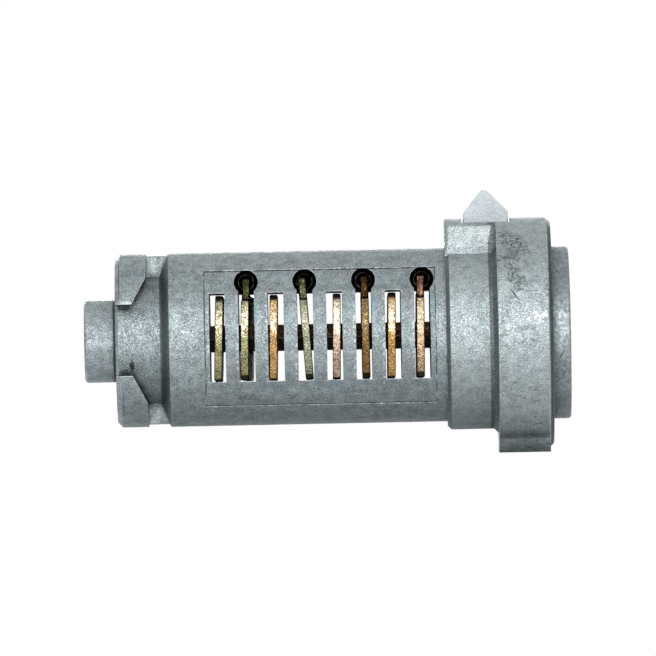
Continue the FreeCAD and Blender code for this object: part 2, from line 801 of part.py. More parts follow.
def check(pieces):
    """Stops the script where an object failed or a shape isn't one sound solid."""
    for item in doc.Objects:
        if {"Invalid", "Error"} & set(item.State):
            raise RuntimeError(f"{item.Name} failed: {item.State}")
    for piece in pieces:
        if piece.Shape.isNull() or not piece.Shape.isValid():
            raise RuntimeError(f"{piece.Label} has no valid shape")
        if len(piece.Shape.Solids) != 1:
            raise RuntimeError(f"{piece.Label} holds {len(piece.Shape.Solids)} solids")


fill_sheet()
PIECES = sub_parts()
doc.recompute()
check(PIECES)
os.makedirs("parts", exist_ok=True)
for piece in PIECES:
    piece.Shape.exportStep(f"parts/{piece.Label}.step")
    print(piece.Label, round(piece.Shape.Volume, 3), piece.Shape.BoundBox)
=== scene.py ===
"""Looks of an ignition lock cylinder: die-cast plug, brass wafers with springs, and a white warning plunger.

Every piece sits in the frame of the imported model: metres, X along the plug, Z the way the plunger points.
Sizes in the classes are millimetres unless a name ends in _m.
"""

import logging
import math
from dataclasses import dataclass, field
from enum import Enum
from typing import Any

import bmesh
import bpy
from mathutils import Euler, Matrix, Vector

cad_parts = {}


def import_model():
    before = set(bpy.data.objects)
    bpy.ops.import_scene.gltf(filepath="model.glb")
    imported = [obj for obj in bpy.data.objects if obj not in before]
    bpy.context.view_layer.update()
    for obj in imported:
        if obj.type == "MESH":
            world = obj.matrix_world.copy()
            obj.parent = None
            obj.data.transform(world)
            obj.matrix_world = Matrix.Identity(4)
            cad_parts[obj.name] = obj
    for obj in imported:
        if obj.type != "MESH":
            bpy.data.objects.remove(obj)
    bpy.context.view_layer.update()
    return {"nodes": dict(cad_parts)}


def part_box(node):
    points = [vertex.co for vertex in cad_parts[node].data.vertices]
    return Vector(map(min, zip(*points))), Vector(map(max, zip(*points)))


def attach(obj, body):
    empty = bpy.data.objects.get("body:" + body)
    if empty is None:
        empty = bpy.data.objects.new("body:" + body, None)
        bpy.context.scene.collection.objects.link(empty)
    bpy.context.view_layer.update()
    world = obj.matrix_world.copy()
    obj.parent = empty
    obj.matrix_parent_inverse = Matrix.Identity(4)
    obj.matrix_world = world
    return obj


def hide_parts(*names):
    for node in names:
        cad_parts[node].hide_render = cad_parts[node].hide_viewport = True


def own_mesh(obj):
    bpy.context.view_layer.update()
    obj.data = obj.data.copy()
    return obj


LOG = logging.getLogger("lock_cylinder")
MM = 0.001
FLAT_ANGLE = math.radians(0.5)
SHARP_ANGLE = math.radians(24)
CREASE_ANGLE = math.radians(32)
MOULDED_ANGLE = math.radians(20)

Colour = tuple[float, float, float]
Triple = tuple[float, float, float]


class Side(Enum):
    """Which side of the plug a wafer's ear and the mouth of its spring bore are on."""

    NEAR = 1
    FAR = -1


class Along(Enum):
    """Which axis of the plug's frame a spring lies along, by its place in a vector."""

    Y = 1
    Z = 2


class Paint(Enum):
    """Node groups that several finishes share."""

    GRAIN = "cast_grain"
    WEAR = "edge_wear"
    SCRATCHES = "scratches"
    # painted shade: ambient-occlusion darkening in corners and cavities
    CAVITY_SHADE = "cavity_shade"


def linear(red: int, green: int, blue: int) -> Colour:
    """Turn a display colour into the linear one that shaders take.

    Args:
        red: Red from 0 to 255.
        green: Green from 0 to 255.
        blue: Blue from 0 to 255.

    Returns:
        The linear colour, each part from 0 to 1.
    """
    shares = [value / 255 for value in (red, green, blue)]
    return tuple(share / 12.92 if share <= 0.04045 else ((share + 0.055) / 1.055) ** 2.4 for share in shares)


@dataclass(frozen=True)
class Mark:
    """A ragged mark of another colour.

    Its middle, its half length along X and half height along Z, and the width of its flecks are millimetres.
    Flecks of 0 leave it whole. Its lean about Y is in degrees.
    """

    middle: Triple
    reach: tuple[float, float]
    colour: Colour
    strength: float = 0.8
    flecks: float = 0.0
    lean: float = 0.0


@dataclass(frozen=True)
class Band:
    """A belt of painted shade right round the plug, from one place along X to another, in millimetres.

    A belt on slopes only leaves out what faces straight outwards.
    """

    start: float
    end: float
    strength: float = 0.7
    slopes: bool = True
    fade: float = 0.08


@dataclass(frozen=True)
class Facet:
    """A field of painted highlight on both sides of the plug, between two places along X and two heights."""

    start: float
    end: float
    low: float
    high: float
    mirrored: bool = False
    slant: float = 0.0
    strength: float = 0.6


@dataclass(frozen=True)
class Relief:
    """How strongly and how deep a skin's grain stands, and how far its edges look rounded, in metres."""

    strength: float
    depth_m: float
    soft_m: float = 0.0


class Graph:
    """A node tree with short calls for adding nodes and joining them."""

    def __init__(self, tree: bpy.types.NodeTree) -> None:
        """Keep the tree and empty it."""
        self.tree = tree
        tree.nodes.clear()

    def add(self, kind: str, inputs: dict[str, Any] | None = None, **settings: Any) -> bpy.types.Node:
        """Add a node.

        Args:
            kind: The node's type without the word ShaderNode.
            inputs: Values or sockets for its inputs, by name or by index.
            **settings: Properties of the node.

        Returns:
            The new node.
        """
        node = self.tree.nodes.new(kind if kind.startswith("Node") else f"ShaderNode{kind}")
        for key, value in settings.items():
            setattr(node, key, value)
        for key, value in (inputs or {}).items():
            self.feed(node.inputs[key], value)
        return node

    def feed(self, socket: bpy.types.NodeSocket, value: Any) -> None:
        """Join a socket to an input, or write a plain value on it.

        Args:
            socket: The input.
            value: A socket, a number, a colour or a vector.
        """
        if isinstance(value, bpy.types.NodeSocket):
            self.tree.links.new(value, socket)
        elif socket.type == "RGBA" and len(value) == 3:
            socket.default_value = (*value, 1)
        else:
            socket.default_value = value

    def maths(self, way: str, first: Any, second: Any = 0.0, clamp: bool = False) -> bpy.types.NodeSocket:
        """Work out one number from two.

        Args:
            way: The operation's name.
            first: The first number or socket.
            second: The second number or socket.
            clamp: Whether the result is kept between 0 and 1.

        Returns:
            The result's socket.
        """
        node = self.add("Math", {0: first, 1: second}, operation=way, use_clamp=clamp)
        return node.outputs[0]

    def spread(
        self, value: Any, low: float, high: float, to_low: float = 0.0, to_high: float = 1.0
    ) -> bpy.types.NodeSocket:
        """Map a span of numbers smoothly on another.

        Args:
            value: The number's socket.
            low: Where the span starts.
            high: Where it ends.
            to_low: What its start becomes.
            to_high: What its end becomes.

        Returns:
            The mapped number's socket.
        """
        node = self.add(
            "MapRange",
            {"Value": value, "From Min": low, "From Max": high, "To Min": to_low, "To Max": to_high},
            interpolation_type="SMOOTHSTEP",
        )
        return node.outputs["Result"]

    def mix(self, share: Any, first: Any, second: Any, way: str = "MIX") -> bpy.types.NodeSocket:
        """Blend two colours.

        Args:
            share: How much of the second shows.
            first: The first colour or socket.
            second: The second colour or socket.
            way: The blend's name.

        Returns:
            The colour's socket.
        """
        node = self.add("Mix", data_type="RGBA", blend_type=way)
        self.feed(node.inputs["Factor"], share)
        self.feed(node.inputs[6], first)
        self.feed(node.inputs[7], second)
        return node.outputs[2]

    def place(self) -> tuple[bpy.types.NodeSocket, list[bpy.types.NodeSocket]]:
        """Give the place on the piece in millimetres.

        Returns:
            The vector, and its three parts.
        """
        coordinates = self.add("TexCoord")
        scaled = self.add(
            "VectorMath", {0: coordinates.outputs["Object"], "Scale": 1000.0}, operation="SCALE"
        )
        parts = self.add("SeparateXYZ", {0: scaled.outputs[0]})
        return scaled.outputs[0], list(parts.outputs)

    def effect(self, paint: Paint, **inputs: Any) -> bpy.types.Node:
        """Place one of the shared groups.

        Args:
            paint: Which group.
            **inputs: Values for its inputs, by name.

        Returns:
            The group's node.
        """
        node = self.add("Group")
        node.node_tree = bpy.data.node_groups[paint.value]
        for key, value in inputs.items():
            self.feed(node.inputs[key], value)
        return node

    def within(self, value: Any, low: Any, high: Any, fade: float) -> bpy.types.NodeSocket:
        """Mask where a number lies between two others.

        Args:
            value: The number's socket.
            low: The lower limit.
            high: The upper limit.
            fade: The width of the soft edge.

        Returns:
            The mask's socket.
        """
        above = self.spread(self.maths("SUBTRACT", value, low), -fade / 2, fade / 2)
        below = self.spread(self.maths("SUBTRACT", high, value), -fade / 2, fade / 2)
        return self.maths("MULTIPLY", above, below)

    def noise(
        self, place: Any, width: Any, low: float, high: float, detail: float = 3.0
    ) -> bpy.types.NodeSocket:
        """Make patches of a given width.

        Args:
            place: The place on the piece, in millimetres.
            width: How wide the patches are.
            low: The noise's value that turns into 0.
            high: The value that turns into 1.
            detail: How many finer layers it has.

        Returns:
            The patches' socket, from 0 to 1.
        """
        pitch = self.maths("DIVIDE", 1.0, width)
        node = self.add("TexNoise", {"Vector": place, "Scale": pitch, "Detail": detail})
        return self.spread(node.outputs[0], low, high)

    def stain(self, place: Any, colour: Any, mark: Mark) -> bpy.types.NodeSocket:
        """Lay a mark over a colour.

        Args:
            place: The place on the piece, in millimetres.
            colour: The colour under the mark.
            mark: The mark.

        Returns:
            The new colour's socket.
        """
        turned = self.add(
            "VectorRotate",
            {"Vector": place, "Center": mark.middle, "Angle": math.radians(mark.lean)},
            rotation_type="Y_AXIS",
        )
        off = self.add("VectorMath", {0: turned.outputs[0], 1: mark.middle}, operation="SUBTRACT")
        across, up = mark.reach
        shape = (1 / across, 1 / max(across, up), 1 / up)
        squeezed = self.add("VectorMath", {0: off.outputs[0], 1: shape}, operation="MULTIPLY")
        away = self.add("VectorMath", {0: squeezed.outputs[0]}, operation="LENGTH")
        wander = self.add("TexNoise", {"Vector": place, "Scale": 1.2 / min(across, up), "Detail": 4.0})
        edge = self.maths("ADD", away.outputs["Value"], self.maths("SUBTRACT", wander.outputs[0], 0.5))
        mask = self.spread(edge, 0.6, 1.0, mark.strength, 0.0)
        if mark.flecks:
            mask = self.maths("MULTIPLY", mask, self.noise(place, mark.flecks, 0.42, 0.66, 4.0))
        return self.mix(mask, colour, mark.colour)

    def skin(self, shader: bpy.types.Node, colour: Any, rough: Any, height: Any, relief: Relief) -> None:
        """Give a shader its colour, roughness and relief.

        Args:
            shader: The Principled shader's node.
            colour: Its colour.
            rough: Its roughness.
            height: The grain's height.
            relief: How the grain stands.
        """
        self.feed(shader.inputs["Base Color"], colour)
        self.feed(shader.inputs["Roughness"], rough)
        bump = self.add("Bump", {"Strength": relief.strength, "Distance": relief.depth_m, "Height": height})
        if relief.soft_m:
            rounded = self.add("Bevel", {"Radius": relief.soft_m}, samples=6)
            self.feed(bump.inputs["Normal"], rounded.outputs[0])
        self.feed(shader.inputs["Normal"], bump.outputs[0])


def new_group(paint: Paint, inputs: dict[str, float | None], outputs: list[str]) -> tuple[Graph, Any, Any]:
    """Start a shared node group.

    Args:
        paint: Which group.
        inputs: Names of its inputs with their values, None for a vector.
        outputs: Names of its outputs.

    Returns:
        The graph, the group's input node and its output node.
    """
    tree = bpy.data.node_groups.new(paint.value, "ShaderNodeTree")
    for name, value in inputs.items():
        kind = "NodeSocketVector" if value is None else "NodeSocketFloat"
        socket = tree.interface.new_socket(name, in_out="INPUT", socket_type=kind)
        if value is not None:
            socket.default_value = value
    for name in outputs:
        tree.interface.new_socket(name, in_out="OUTPUT", socket_type="NodeSocketFloat")
    graph = Graph(tree)
    return graph, graph.add("NodeGroupInput"), graph.add("NodeGroupOutput")


def build_grain() -> None:
    """Build the mottling, sparkle and pits of a cast or stamped skin."""
    graph, given, made = new_group(Paint.GRAIN, {"Place": None, "Size": 0.25}, ["Tone", "Height"])
    place = given.outputs["Place"]
    size = given.outputs["Size"]
    fine = graph.noise(place, size, 0.33, 0.67, 4.0)
    broad = graph.noise(place, graph.maths("MULTIPLY", size, 6.0), 0.3, 0.7)
    pits = graph.add("TexVoronoi", {"Vector": place, "Scale": graph.maths("DIVIDE", 0.5, size)})
    pitted = graph.spread(pits.outputs["Distance"], 0.05, 0.3, 1.0, 0.0)
    tone = graph.maths("ADD", graph.maths("MULTIPLY", fine, 0.66), graph.maths("MULTIPLY", broad, 0.34))
    graph.feed(made.inputs["Tone"], graph.maths("SUBTRACT", tone, graph.maths("MULTIPLY", pitted, 0.4), True))
    graph.feed(made.inputs["Height"], graph.maths("SUBTRACT", fine, graph.maths("MULTIPLY", pitted, 0.7)))


def build_wear() -> None:
    """Build the mask of rubbed edges."""
    graph, given, made = new_group(Paint.WEAR, {"Place": None, "Width": 0.00012, "Breakup": 0.5}, ["Wear"])
    rounded = graph.add("Bevel", {"Radius": given.outputs["Width"]}, samples=6)
    facing = graph.add("NewGeometry")
    turn = graph.add(
        "VectorMath", {0: rounded.outputs[0], 1: facing.outputs["Normal"]}, operation="DOT_PRODUCT"
    )
    edge = graph.spread(turn.outputs["Value"], 0.8, 0.995, 1.0, 0.0)
    open_air = graph.add("AmbientOcclusion", {"Distance": 0.0006}, samples=6)
    proud = graph.spread(open_air.outputs["AO"], 0.55, 0.9)
    noise = graph.add(
        "TexNoise",
        {
            "Vector": given.outputs["Place"],
            "Scale": graph.maths("DIVIDE", 1.0, given.outputs["Breakup"]),
            "Detail": 3.0,
        },
    )
    kept = graph.spread(noise.outputs[0], 0.35, 0.62)
    wear = graph.maths("MULTIPLY", graph.maths("MULTIPLY", edge, proud), kept, True)
    graph.feed(made.inputs["Wear"], wear)


def build_scratches() -> None:
    """Build the mask of fine long scratches, along the first axis of the place it gets."""
    graph, given, made = new_group(
        Paint.SCRATCHES, {"Place": None, "Length": 4.0, "Gap": 0.5, "Amount": 0.5}, ["Mark"]
    )
    parts = graph.add("SeparateXYZ", {0: given.outputs["Place"]})
    stretched = graph.add(
        "CombineXYZ",
        {
            0: graph.maths("DIVIDE", parts.outputs[0], given.outputs["Length"]),
            1: graph.maths("DIVIDE", parts.outputs[1], given.outputs["Gap"]),
            2: graph.maths("DIVIDE", parts.outputs[2], given.outputs["Gap"]),
        },
    )
    noise = graph.add("TexNoise", {"Vector": stretched.outputs[0], "Scale": 1.0, "Detail": 3.0})
    line = graph.maths("ABSOLUTE", graph.maths("SUBTRACT", noise.outputs[0], 0.5))
    thin = graph.spread(line, 0.0, 0.022, 1.0, 0.0)
    where = graph.add("TexNoise", {"Vector": given.outputs["Place"], "Scale": 0.35, "Detail": 2.0})
    shown = graph.spread(where.outputs[0], 0.45, 0.65)
    mark = graph.maths("MULTIPLY", graph.maths("MULTIPLY", thin, shown), given.outputs["Amount"], True)
    graph.feed(made.inputs["Mark"], mark)


def build_cavity_shade() -> None:
    """Build the mask of painted shade in corners and cavities, from ambient occlusion broken into patches."""
    graph, given, made = new_group(
        Paint.CAVITY_SHADE, {"Place": None, "Reach": 0.0006, "Open": 0.85, "Breakup": 0.6}, ["Dirt"]
    )
    shade = graph.add("AmbientOcclusion", {"Distance": given.outputs["Reach"]}, samples=8)
    short = graph.maths("SUBTRACT", given.outputs["Open"], shade.outputs["AO"])
    deep = graph.spread(short, 0.0, 0.5)
    patches = graph.noise(given.outputs["Place"], given.outputs["Breakup"], 0.3, 0.6)
    patchy = graph.spread(patches, 0.0, 1.0, 0.5, 1.0)
    graph.feed(made.inputs["Dirt"], graph.maths("MULTIPLY", deep, patchy, True))


def new_material(name: str) -> tuple[bpy.types.Material, Graph, bpy.types.Node]:
    """Start a material with one Principled shader.

    Args:
        name: The material's name.

    Returns:
        The material, its graph and the shader's node.
    """
    material = bpy.data.materials.new(name)
    material.use_nodes = True
    graph = Graph(material.node_tree)
    shader = graph.add("BsdfPrincipled")
    output = graph.add("OutputMaterial")
    graph.tree.links.new(shader.outputs[0], output.inputs["Surface"])
    return material, graph, shader


@dataclass(frozen=True)
class CastZinc:
    """Die-cast zinc alloy with a mottled satin skin, scuffed on the ring and smudged in places, with painted
    shade in its grooves, corners and underside and painted highlights on its drafted facets and on the ring.
    """

    name: str = "cast_zinc"
    light: Colour = linear(166, 176, 178)
    dark: Colour = linear(104, 113, 116)
    # pale colour: real edge wear and burrs, and painted light on the head and tail, painted highlights on the
    # facets and glints along the window
    pale_tone: Colour = linear(226, 233, 235)
    # dark colour: real scratches, blowholes and the window's outline, and painted shade in belts, corners,
    # recesses and on the underside
    dirt_and_shade: Colour = linear(26, 29, 30)
    tint: Colour = linear(104, 158, 172)
    grain: float = 0.125
    roughness: tuple[float, float] = (0.6, 0.46)
    relief: Relief = Relief(0.38, 0.00005, 0.00008)
    pit_pitch: float = 0.62
    head_start: float = 23.0
    head_painted_light: float = 0.1
    neck_reach: tuple[float, float] = (-4.4, -0.6)
    neck_radius: float = 6.1
    neck_painted_shade: float = 0.04
    tail_end: float = -4.8
    tail_painted_light: float = 0.07
    web_height: float = 4.2
    web_painted_shade: float = 0.24
    edge_width_m: float = 0.00013
    edge_wear: float = 0.85
    ring_start: float = 27.3
    belly_painted_shade: float = 0.24
    boss_low: float = 7.25
    boss_high: float = 9.0
    boss_front: float = 26.5
    boss_slant: float = 0.22
    pad_top: float = -8.6
    foot_height: float = -9.95
    under_painted_shade: float = 0.45
    first_slot: float = 4.0
    slot_pitch: float = 2.43
    slot_half: float = 0.66
    slot_reach: float = 3.7
    window: tuple[float, float, float] = (2.95, 22.1, 5.6)
    bands: tuple[Band, ...] = (
        Band(-4.72, -4.48, 0.8, slopes=False),
        Band(-0.62, 0.1, 0.55),
        Band(22.98, 23.32, 0.6),
        Band(26.56, 27.24, 0.6, slopes=False),
        Band(31.5, 31.79, 0.8),
    )
    facets: tuple[Facet, ...] = (
        Facet(23.32, 26.5, 7.2, 9.0, slant=0.25, strength=0.26),
        Facet(-1.8, -0.6, 5.6, 6.9, mirrored=True, slant=-0.4, strength=0.22),
        Facet(-4.2, -3.1, 2.98, 3.24, strength=0.4),
    )
    marks: tuple[Mark, ...] = (
        Mark((-3.14, -5.17, -2.1), (0.24, 0.52), linear(44, 38, 34), 0.9),
        Mark((-3.1, -5.17, -2.0), (0.1, 0.26), linear(134, 110, 94), 0.7, 0.15),
        Mark((-4.12, -4.8, 5.2), (0.07, 2.6), linear(66, 72, 73), 0.7),
        Mark((-3.9, -4.8, -5.2), (0.05, 2.7), linear(66, 72, 73), 0.6),
        Mark((-6.45, -3.4, 0.3), (0.4, 0.34), linear(92, 94, 102), 0.7, 0.2),
        Mark((1.85, -7.2, 0.7), (0.12, 0.09), linear(46, 50, 52), 0.85),
        Mark((1.4, -7.0, 1.5), (0.07, 0.07), linear(46, 50, 52), 0.8),
        Mark((2.6, -5.0, 5.1), (0.8, 0.25), linear(96, 104, 106), 0.6, 0.3, 20.0),
        Mark((15.8, -5.8, -4.6), (0.9, 0.25), linear(58, 64, 66), 0.7, 0.16),
        Mark((6.4, -5.6, -4.9), (1.6, 0.35), linear(74, 82, 84), 0.6, 0.22),
        # painted shade: a dark strip along the boss's rear edge
        Mark((23.05, -4.2, 8.0), (0.24, 1.7), linear(92, 101, 103), 0.75),
        Mark((-3.4, -4.9, -2.75), (0.7, 0.5), linear(62, 68, 68), 0.7, 0.25),
        Mark((-1.1, -1.7, -6.3), (0.9, 0.7), linear(150, 136, 118), 0.6, 0.3),
        Mark((28.7, -5.9, 7.4), (1.0, 2.1), linear(58, 64, 66), 0.9, 0.2, 40.0),
        Mark((28.1, -7.2, 5.9), (1.3, 1.0), linear(60, 66, 68), 0.85, 0.22, 20.0),
        Mark((28.8, -8.6, 4.4), (0.9, 1.7), linear(68, 75, 76), 0.8, 0.2, 25.0),
        Mark((28.6, -7.6, 5.9), (1.7, 2.6), linear(104, 113, 115), 0.5, 0.5, 30.0),
        Mark((28.75, -9.0, 3.0), (0.8, 0.05), linear(36, 39, 39), 0.95, 0.0, -52.0),
        Mark((28.5, -9.1, 3.3), (0.45, 0.04), linear(52, 55, 55), 0.8, 0.0, -60.0),
        Mark((29.5, -9.6, -0.4), (1.6, 1.2), linear(84, 90, 91), 0.6, 0.25),
        # painted highlights: two pale spots where the ring catches the light
        Mark((30.8, -9.5, 1.3), (0.7, 0.6), linear(246, 250, 251), 0.7, 0.3),
        Mark((28.3, -9.5, 0.3), (0.6, 0.9), linear(240, 245, 247), 0.4, 0.25),
        Mark((8.7, -6.1, -4.0), (0.9, 0.3), linear(88, 146, 156), 0.5, 0.25),
        Mark((13.6, -6.1, -3.9), (0.7, 0.2), linear(88, 146, 160), 0.45, 0.25),
        Mark((18.5, -6.1, -3.85), (0.7, 0.2), linear(88, 146, 160), 0.45, 0.25),
        Mark((17.75, -6.15, -4.0), (0.07, 0.22), linear(240, 244, 245), 0.9, 0.0, 25.0),
        Mark((27.5, -3.6, -8.75), (0.12, 0.24), linear(238, 243, 245), 0.9, 0.0, -15.0),
    )

    def build(self) -> bpy.types.Material:
        """Build the casting's material.

        Returns:
            The material.
        """
        material, graph, shader = new_material(self.name)
        place, parts = graph.place()
        turned = graph.add("SeparateXYZ", {0: graph.add("TexCoord").outputs["Normal"]})
        grain = graph.effect(Paint.GRAIN, Place=place, Size=self.grain)
        colour = graph.mix(grain.outputs["Tone"], self.dark, self.light)
        colour = self.tone_zones(graph, place, parts, colour)
        for mark in self.marks:
            colour = graph.stain(place, colour, mark)
        colour = self.tint_rims(graph, place, parts, colour)
        wear = graph.effect(Paint.WEAR, Place=place, Width=self.edge_width_m, Breakup=0.32)
        colour = graph.mix(graph.maths("MULTIPLY", wear.outputs["Wear"], self.edge_wear), colour, self.pale_tone)
        colour = self.paint_facet_highlights(graph, parts, grain, colour)
        scored = self.scores(graph, place, parts)
        colour = graph.mix(scored, colour, self.dirt_and_shade)
        colour = graph.mix(self.pits(graph, place), colour, self.dirt_and_shade)
        # painted shade: surfaces that face downwards are darkened
        belly = graph.spread(turned.outputs[2], -0.95, -0.5, self.belly_painted_shade, 0.0)
        colour = graph.mix(belly, colour, self.dirt_and_shade)
        colour = self.paint_shade_belts(graph, parts, turned.outputs[0], colour)
        colour = self.line_window(graph, place, parts, colour)
        colour = self.paint_corner_shade(graph, place, parts, colour)
        shader.inputs["Metallic"].default_value = 1.0
        rough = graph.spread(grain.outputs["Tone"], 0.0, 1.0, *self.roughness)
        height = graph.maths("SUBTRACT", grain.outputs["Height"], graph.maths("MULTIPLY", scored, 0.5))
        graph.skin(shader, colour, rough, height, self.relief)
        return material

    def tone_zones(self, graph: Graph, place: Any, parts: list[Any], colour: Any) -> bpy.types.NodeSocket:
        """Paint light on the head and the tail a little, and paint shade on the neck and the webs between the
        slots.

        Args:
            graph: The material's graph.
            place: The place on the piece.
            parts: Its three parts.
            colour: The colour so far.

        Returns:
            The new colour's socket.
        """
        head = graph.spread(parts[0], self.head_start - 0.1, self.head_start + 0.1, 0.0, self.head_painted_light)
        colour = graph.mix(head, colour, self.pale_tone)
        across = graph.add("VectorMath", {0: place, 1: (0.0, 1.0, 1.0)}, operation="MULTIPLY")
        radius = graph.add("VectorMath", {0: across.outputs[0]}, operation="LENGTH")
        slim = graph.spread(radius.outputs["Value"], self.neck_radius - 0.2, self.neck_radius + 0.2, 1.0, 0.0)
        neck = graph.maths("MULTIPLY", slim, graph.within(parts[0], *self.neck_reach, 0.2))
        colour = graph.mix(graph.maths("MULTIPLY", neck, self.neck_painted_shade), colour, self.dark)
        tail = graph.spread(parts[0], self.tail_end - 0.1, self.tail_end + 0.1, self.tail_painted_light, 0.0)
        colour = graph.mix(tail, colour, self.pale_tone)
        inside = graph.within(parts[0], self.window[0], self.window[1], 0.5)
        webs = graph.maths("MULTIPLY", inside, graph.within(parts[2], -self.web_height, self.web_height, 0.6))
        return graph.mix(graph.maths("MULTIPLY", webs, self.web_painted_shade), colour, self.dark)

    def scores(self, graph: Graph, place: Any, parts: list[Any]) -> bpy.types.NodeSocket:
        """Scratch the skin, most of all on the ring.

        Args:
            graph: The material's graph.
            place: The place on the piece.
            parts: Its three parts.

        Returns:
            The mask's socket.
        """
        scratches = graph.effect(Paint.SCRATCHES, Place=place, Length=1.6, Gap=0.7, Amount=0.8)
        on_ring = graph.spread(parts[0], self.ring_start - 0.3, self.ring_start + 0.3, 0.2, 0.85)
        return graph.maths("MULTIPLY", scratches.outputs["Mark"], on_ring, True)

    def paint_shade_belts(self, graph: Graph, parts: list[Any], turned: Any, colour: Any) -> bpy.types.NodeSocket:
        """Paint belts of shade round the plug, in its grooves and on its slopes, clear of the boss's drafted
        sides.

        Args:
            graph: The material's graph.
            parts: The three parts of the place.
            turned: How far the surface faces along the plug.
            colour: The colour so far.

        Returns:
            The new colour's socket.
        """
        slope = graph.maths("ABSOLUTE", turned)
        upright = graph.spread(slope, 0.97, 0.995, 1.0, 0.0)
        sloped = graph.maths("MULTIPLY", graph.spread(slope, 0.2, 0.5), upright)
        boss = graph.within(parts[2], self.boss_low, self.boss_high, 0.15)
        above = graph.maths("SUBTRACT", parts[2], self.boss_low - 0.05)
        lean = graph.maths("MULTIPLY", above, self.boss_slant)
        boss_end = graph.maths("SUBTRACT", graph.maths("ADD", lean, self.boss_front), parts[0])
        boss = graph.maths("MULTIPLY", boss, graph.spread(boss_end, -0.05, 0.05))
        clear = graph.maths("SUBTRACT", 1.0, boss)
        for band in self.bands:
            mask = graph.within(parts[0], band.start, band.end, band.fade)
            share = graph.maths("MULTIPLY", mask, sloped if band.slopes else clear)
            colour = graph.mix(graph.maths("MULTIPLY", share, band.strength), colour, self.dirt_and_shade)
        return colour

    def paint_corner_shade(self, graph: Graph, place: Any, parts: list[Any], colour: Any) -> bpy.types.NodeSocket:
        """Paint shade in corners and deep openings, and paint shade on the pad towards its foot.

        Args:
            graph: The material's graph.
            place: The place on the piece.
            parts: Its three parts.
            colour: The colour so far.

        Returns:
            The new colour's socket.
        """
        # painted shade: ambient-occlusion darkening in corners
        corners = graph.effect(Paint.CAVITY_SHADE, Place=place, Reach=0.0009, Open=0.84, Breakup=0.8)
        above_pad = graph.spread(parts[2], self.pad_top - 0.3, self.pad_top + 0.3, 0.0, 0.9)
        colour = graph.mix(graph.maths("MULTIPLY", corners.outputs["Dirt"], above_pad), colour, self.dirt_and_shade)
        # painted shade: the lowest part is darkened towards the foot
        under = graph.spread(parts[2], self.foot_height, self.pad_top - 0.1, self.under_painted_shade, 0.0)
        colour = graph.mix(under, colour, self.dirt_and_shade)
        # painted shade: wide ambient-occlusion darkening in deep openings
        depths = graph.effect(Paint.CAVITY_SHADE, Place=place, Reach=0.003, Open=0.5, Breakup=0.8)
        deep = graph.maths("MULTIPLY", depths.outputs["Dirt"], graph.maths("MULTIPLY", above_pad, 2.4), True)
        return graph.mix(deep, colour, self.dirt_and_shade)

    def pits(self, graph: Graph, place: Any) -> bpy.types.NodeSocket:
        """Scatter a few small blowholes.

        Args:
            graph: The material's graph.
            place: The place on the piece.

        Returns:
            The mask's socket.
        """
        cells = graph.add("TexVoronoi", {"Vector": place, "Scale": self.pit_pitch})
        chosen = graph.add("SeparateXYZ", {0: cells.outputs["Color"]})
        kept = graph.spread(chosen.outputs[0], 0.55, 0.6)
        near = graph.spread(cells.outputs["Distance"], 0.035, 0.06, 0.85, 0.0)
        return graph.maths("MULTIPLY", near, kept)

    def tint_rims(self, graph: Graph, place: Any, parts: list[Any], colour: Any) -> bpy.types.NodeSocket:
        """Tint the front rims of the slots and lay pale burrs along the rear ones.

        Args:
            graph: The material's graph.
            place: The place on the piece.
            parts: Its three parts.
            colour: The colour so far.

        Returns:
            The new colour's socket.
        """
        last = self.first_slot + 7 * self.slot_pitch
        row = graph.within(parts[0], self.first_slot - 1.2, last + 1.2, 0.1)
        shifted = graph.maths("SUBTRACT", parts[0], self.first_slot - self.slot_pitch / 2)
        step = graph.maths("FLOORED_MODULO", shifted, self.slot_pitch)
        off = graph.maths("SUBTRACT", step, self.slot_pitch / 2)
        level = graph.within(parts[2], -self.slot_reach, self.slot_reach, 0.4)
        here = graph.maths("MULTIPLY", row, level)
        front = graph.within(off, self.slot_half - 0.1, self.slot_half + 0.3, 0.25)
        patches = graph.noise(place, 1.4, 0.46, 0.66)
        tinted = graph.maths("MULTIPLY", graph.maths("MULTIPLY", front, here), patches)
        colour = graph.mix(graph.maths("MULTIPLY", tinted, 0.36), colour, self.tint)
        rear = graph.within(off, -self.slot_half - 0.22, -self.slot_half + 0.02, 0.12)
        flecks = graph.noise(place, 0.3, 0.5, 0.62)
        burred = graph.maths("MULTIPLY", graph.maths("MULTIPLY", rear, here), flecks)
        return graph.mix(graph.maths("MULTIPLY", burred, 0.4), colour, self.pale_tone)

    def paint_facet_highlights(self, graph: Graph, parts: list[Any], grain: Any, colour: Any) -> bpy.types.NodeSocket:
        """Paint highlights on the drafted sides of the boss and of the ribs, and along the upper lug's lower
        edge.

        Args:
            graph: The material's graph.
            parts: The three parts of the place.
            grain: The grain's node.
            colour: The colour so far.

        Returns:
            The new colour's socket.
        """
        for facet in self.facets:
            height = graph.maths("ABSOLUTE", parts[2]) if facet.mirrored else parts[2]
            lean = graph.maths("MULTIPLY", graph.maths("SUBTRACT", height, facet.low), facet.slant)
            along = graph.within(parts[0], facet.start, graph.maths("ADD", lean, facet.end), 0.12)
            mask = graph.maths("MULTIPLY", along, graph.within(height, facet.low, facet.high, 0.1))
            speckled = graph.spread(grain.outputs["Tone"], 0.1, 0.7, 0.55, 1.0)
            share = graph.maths("MULTIPLY", graph.maths("MULTIPLY", mask, speckled), facet.strength)
            colour = graph.mix(share, colour, self.pale_tone)
        return colour

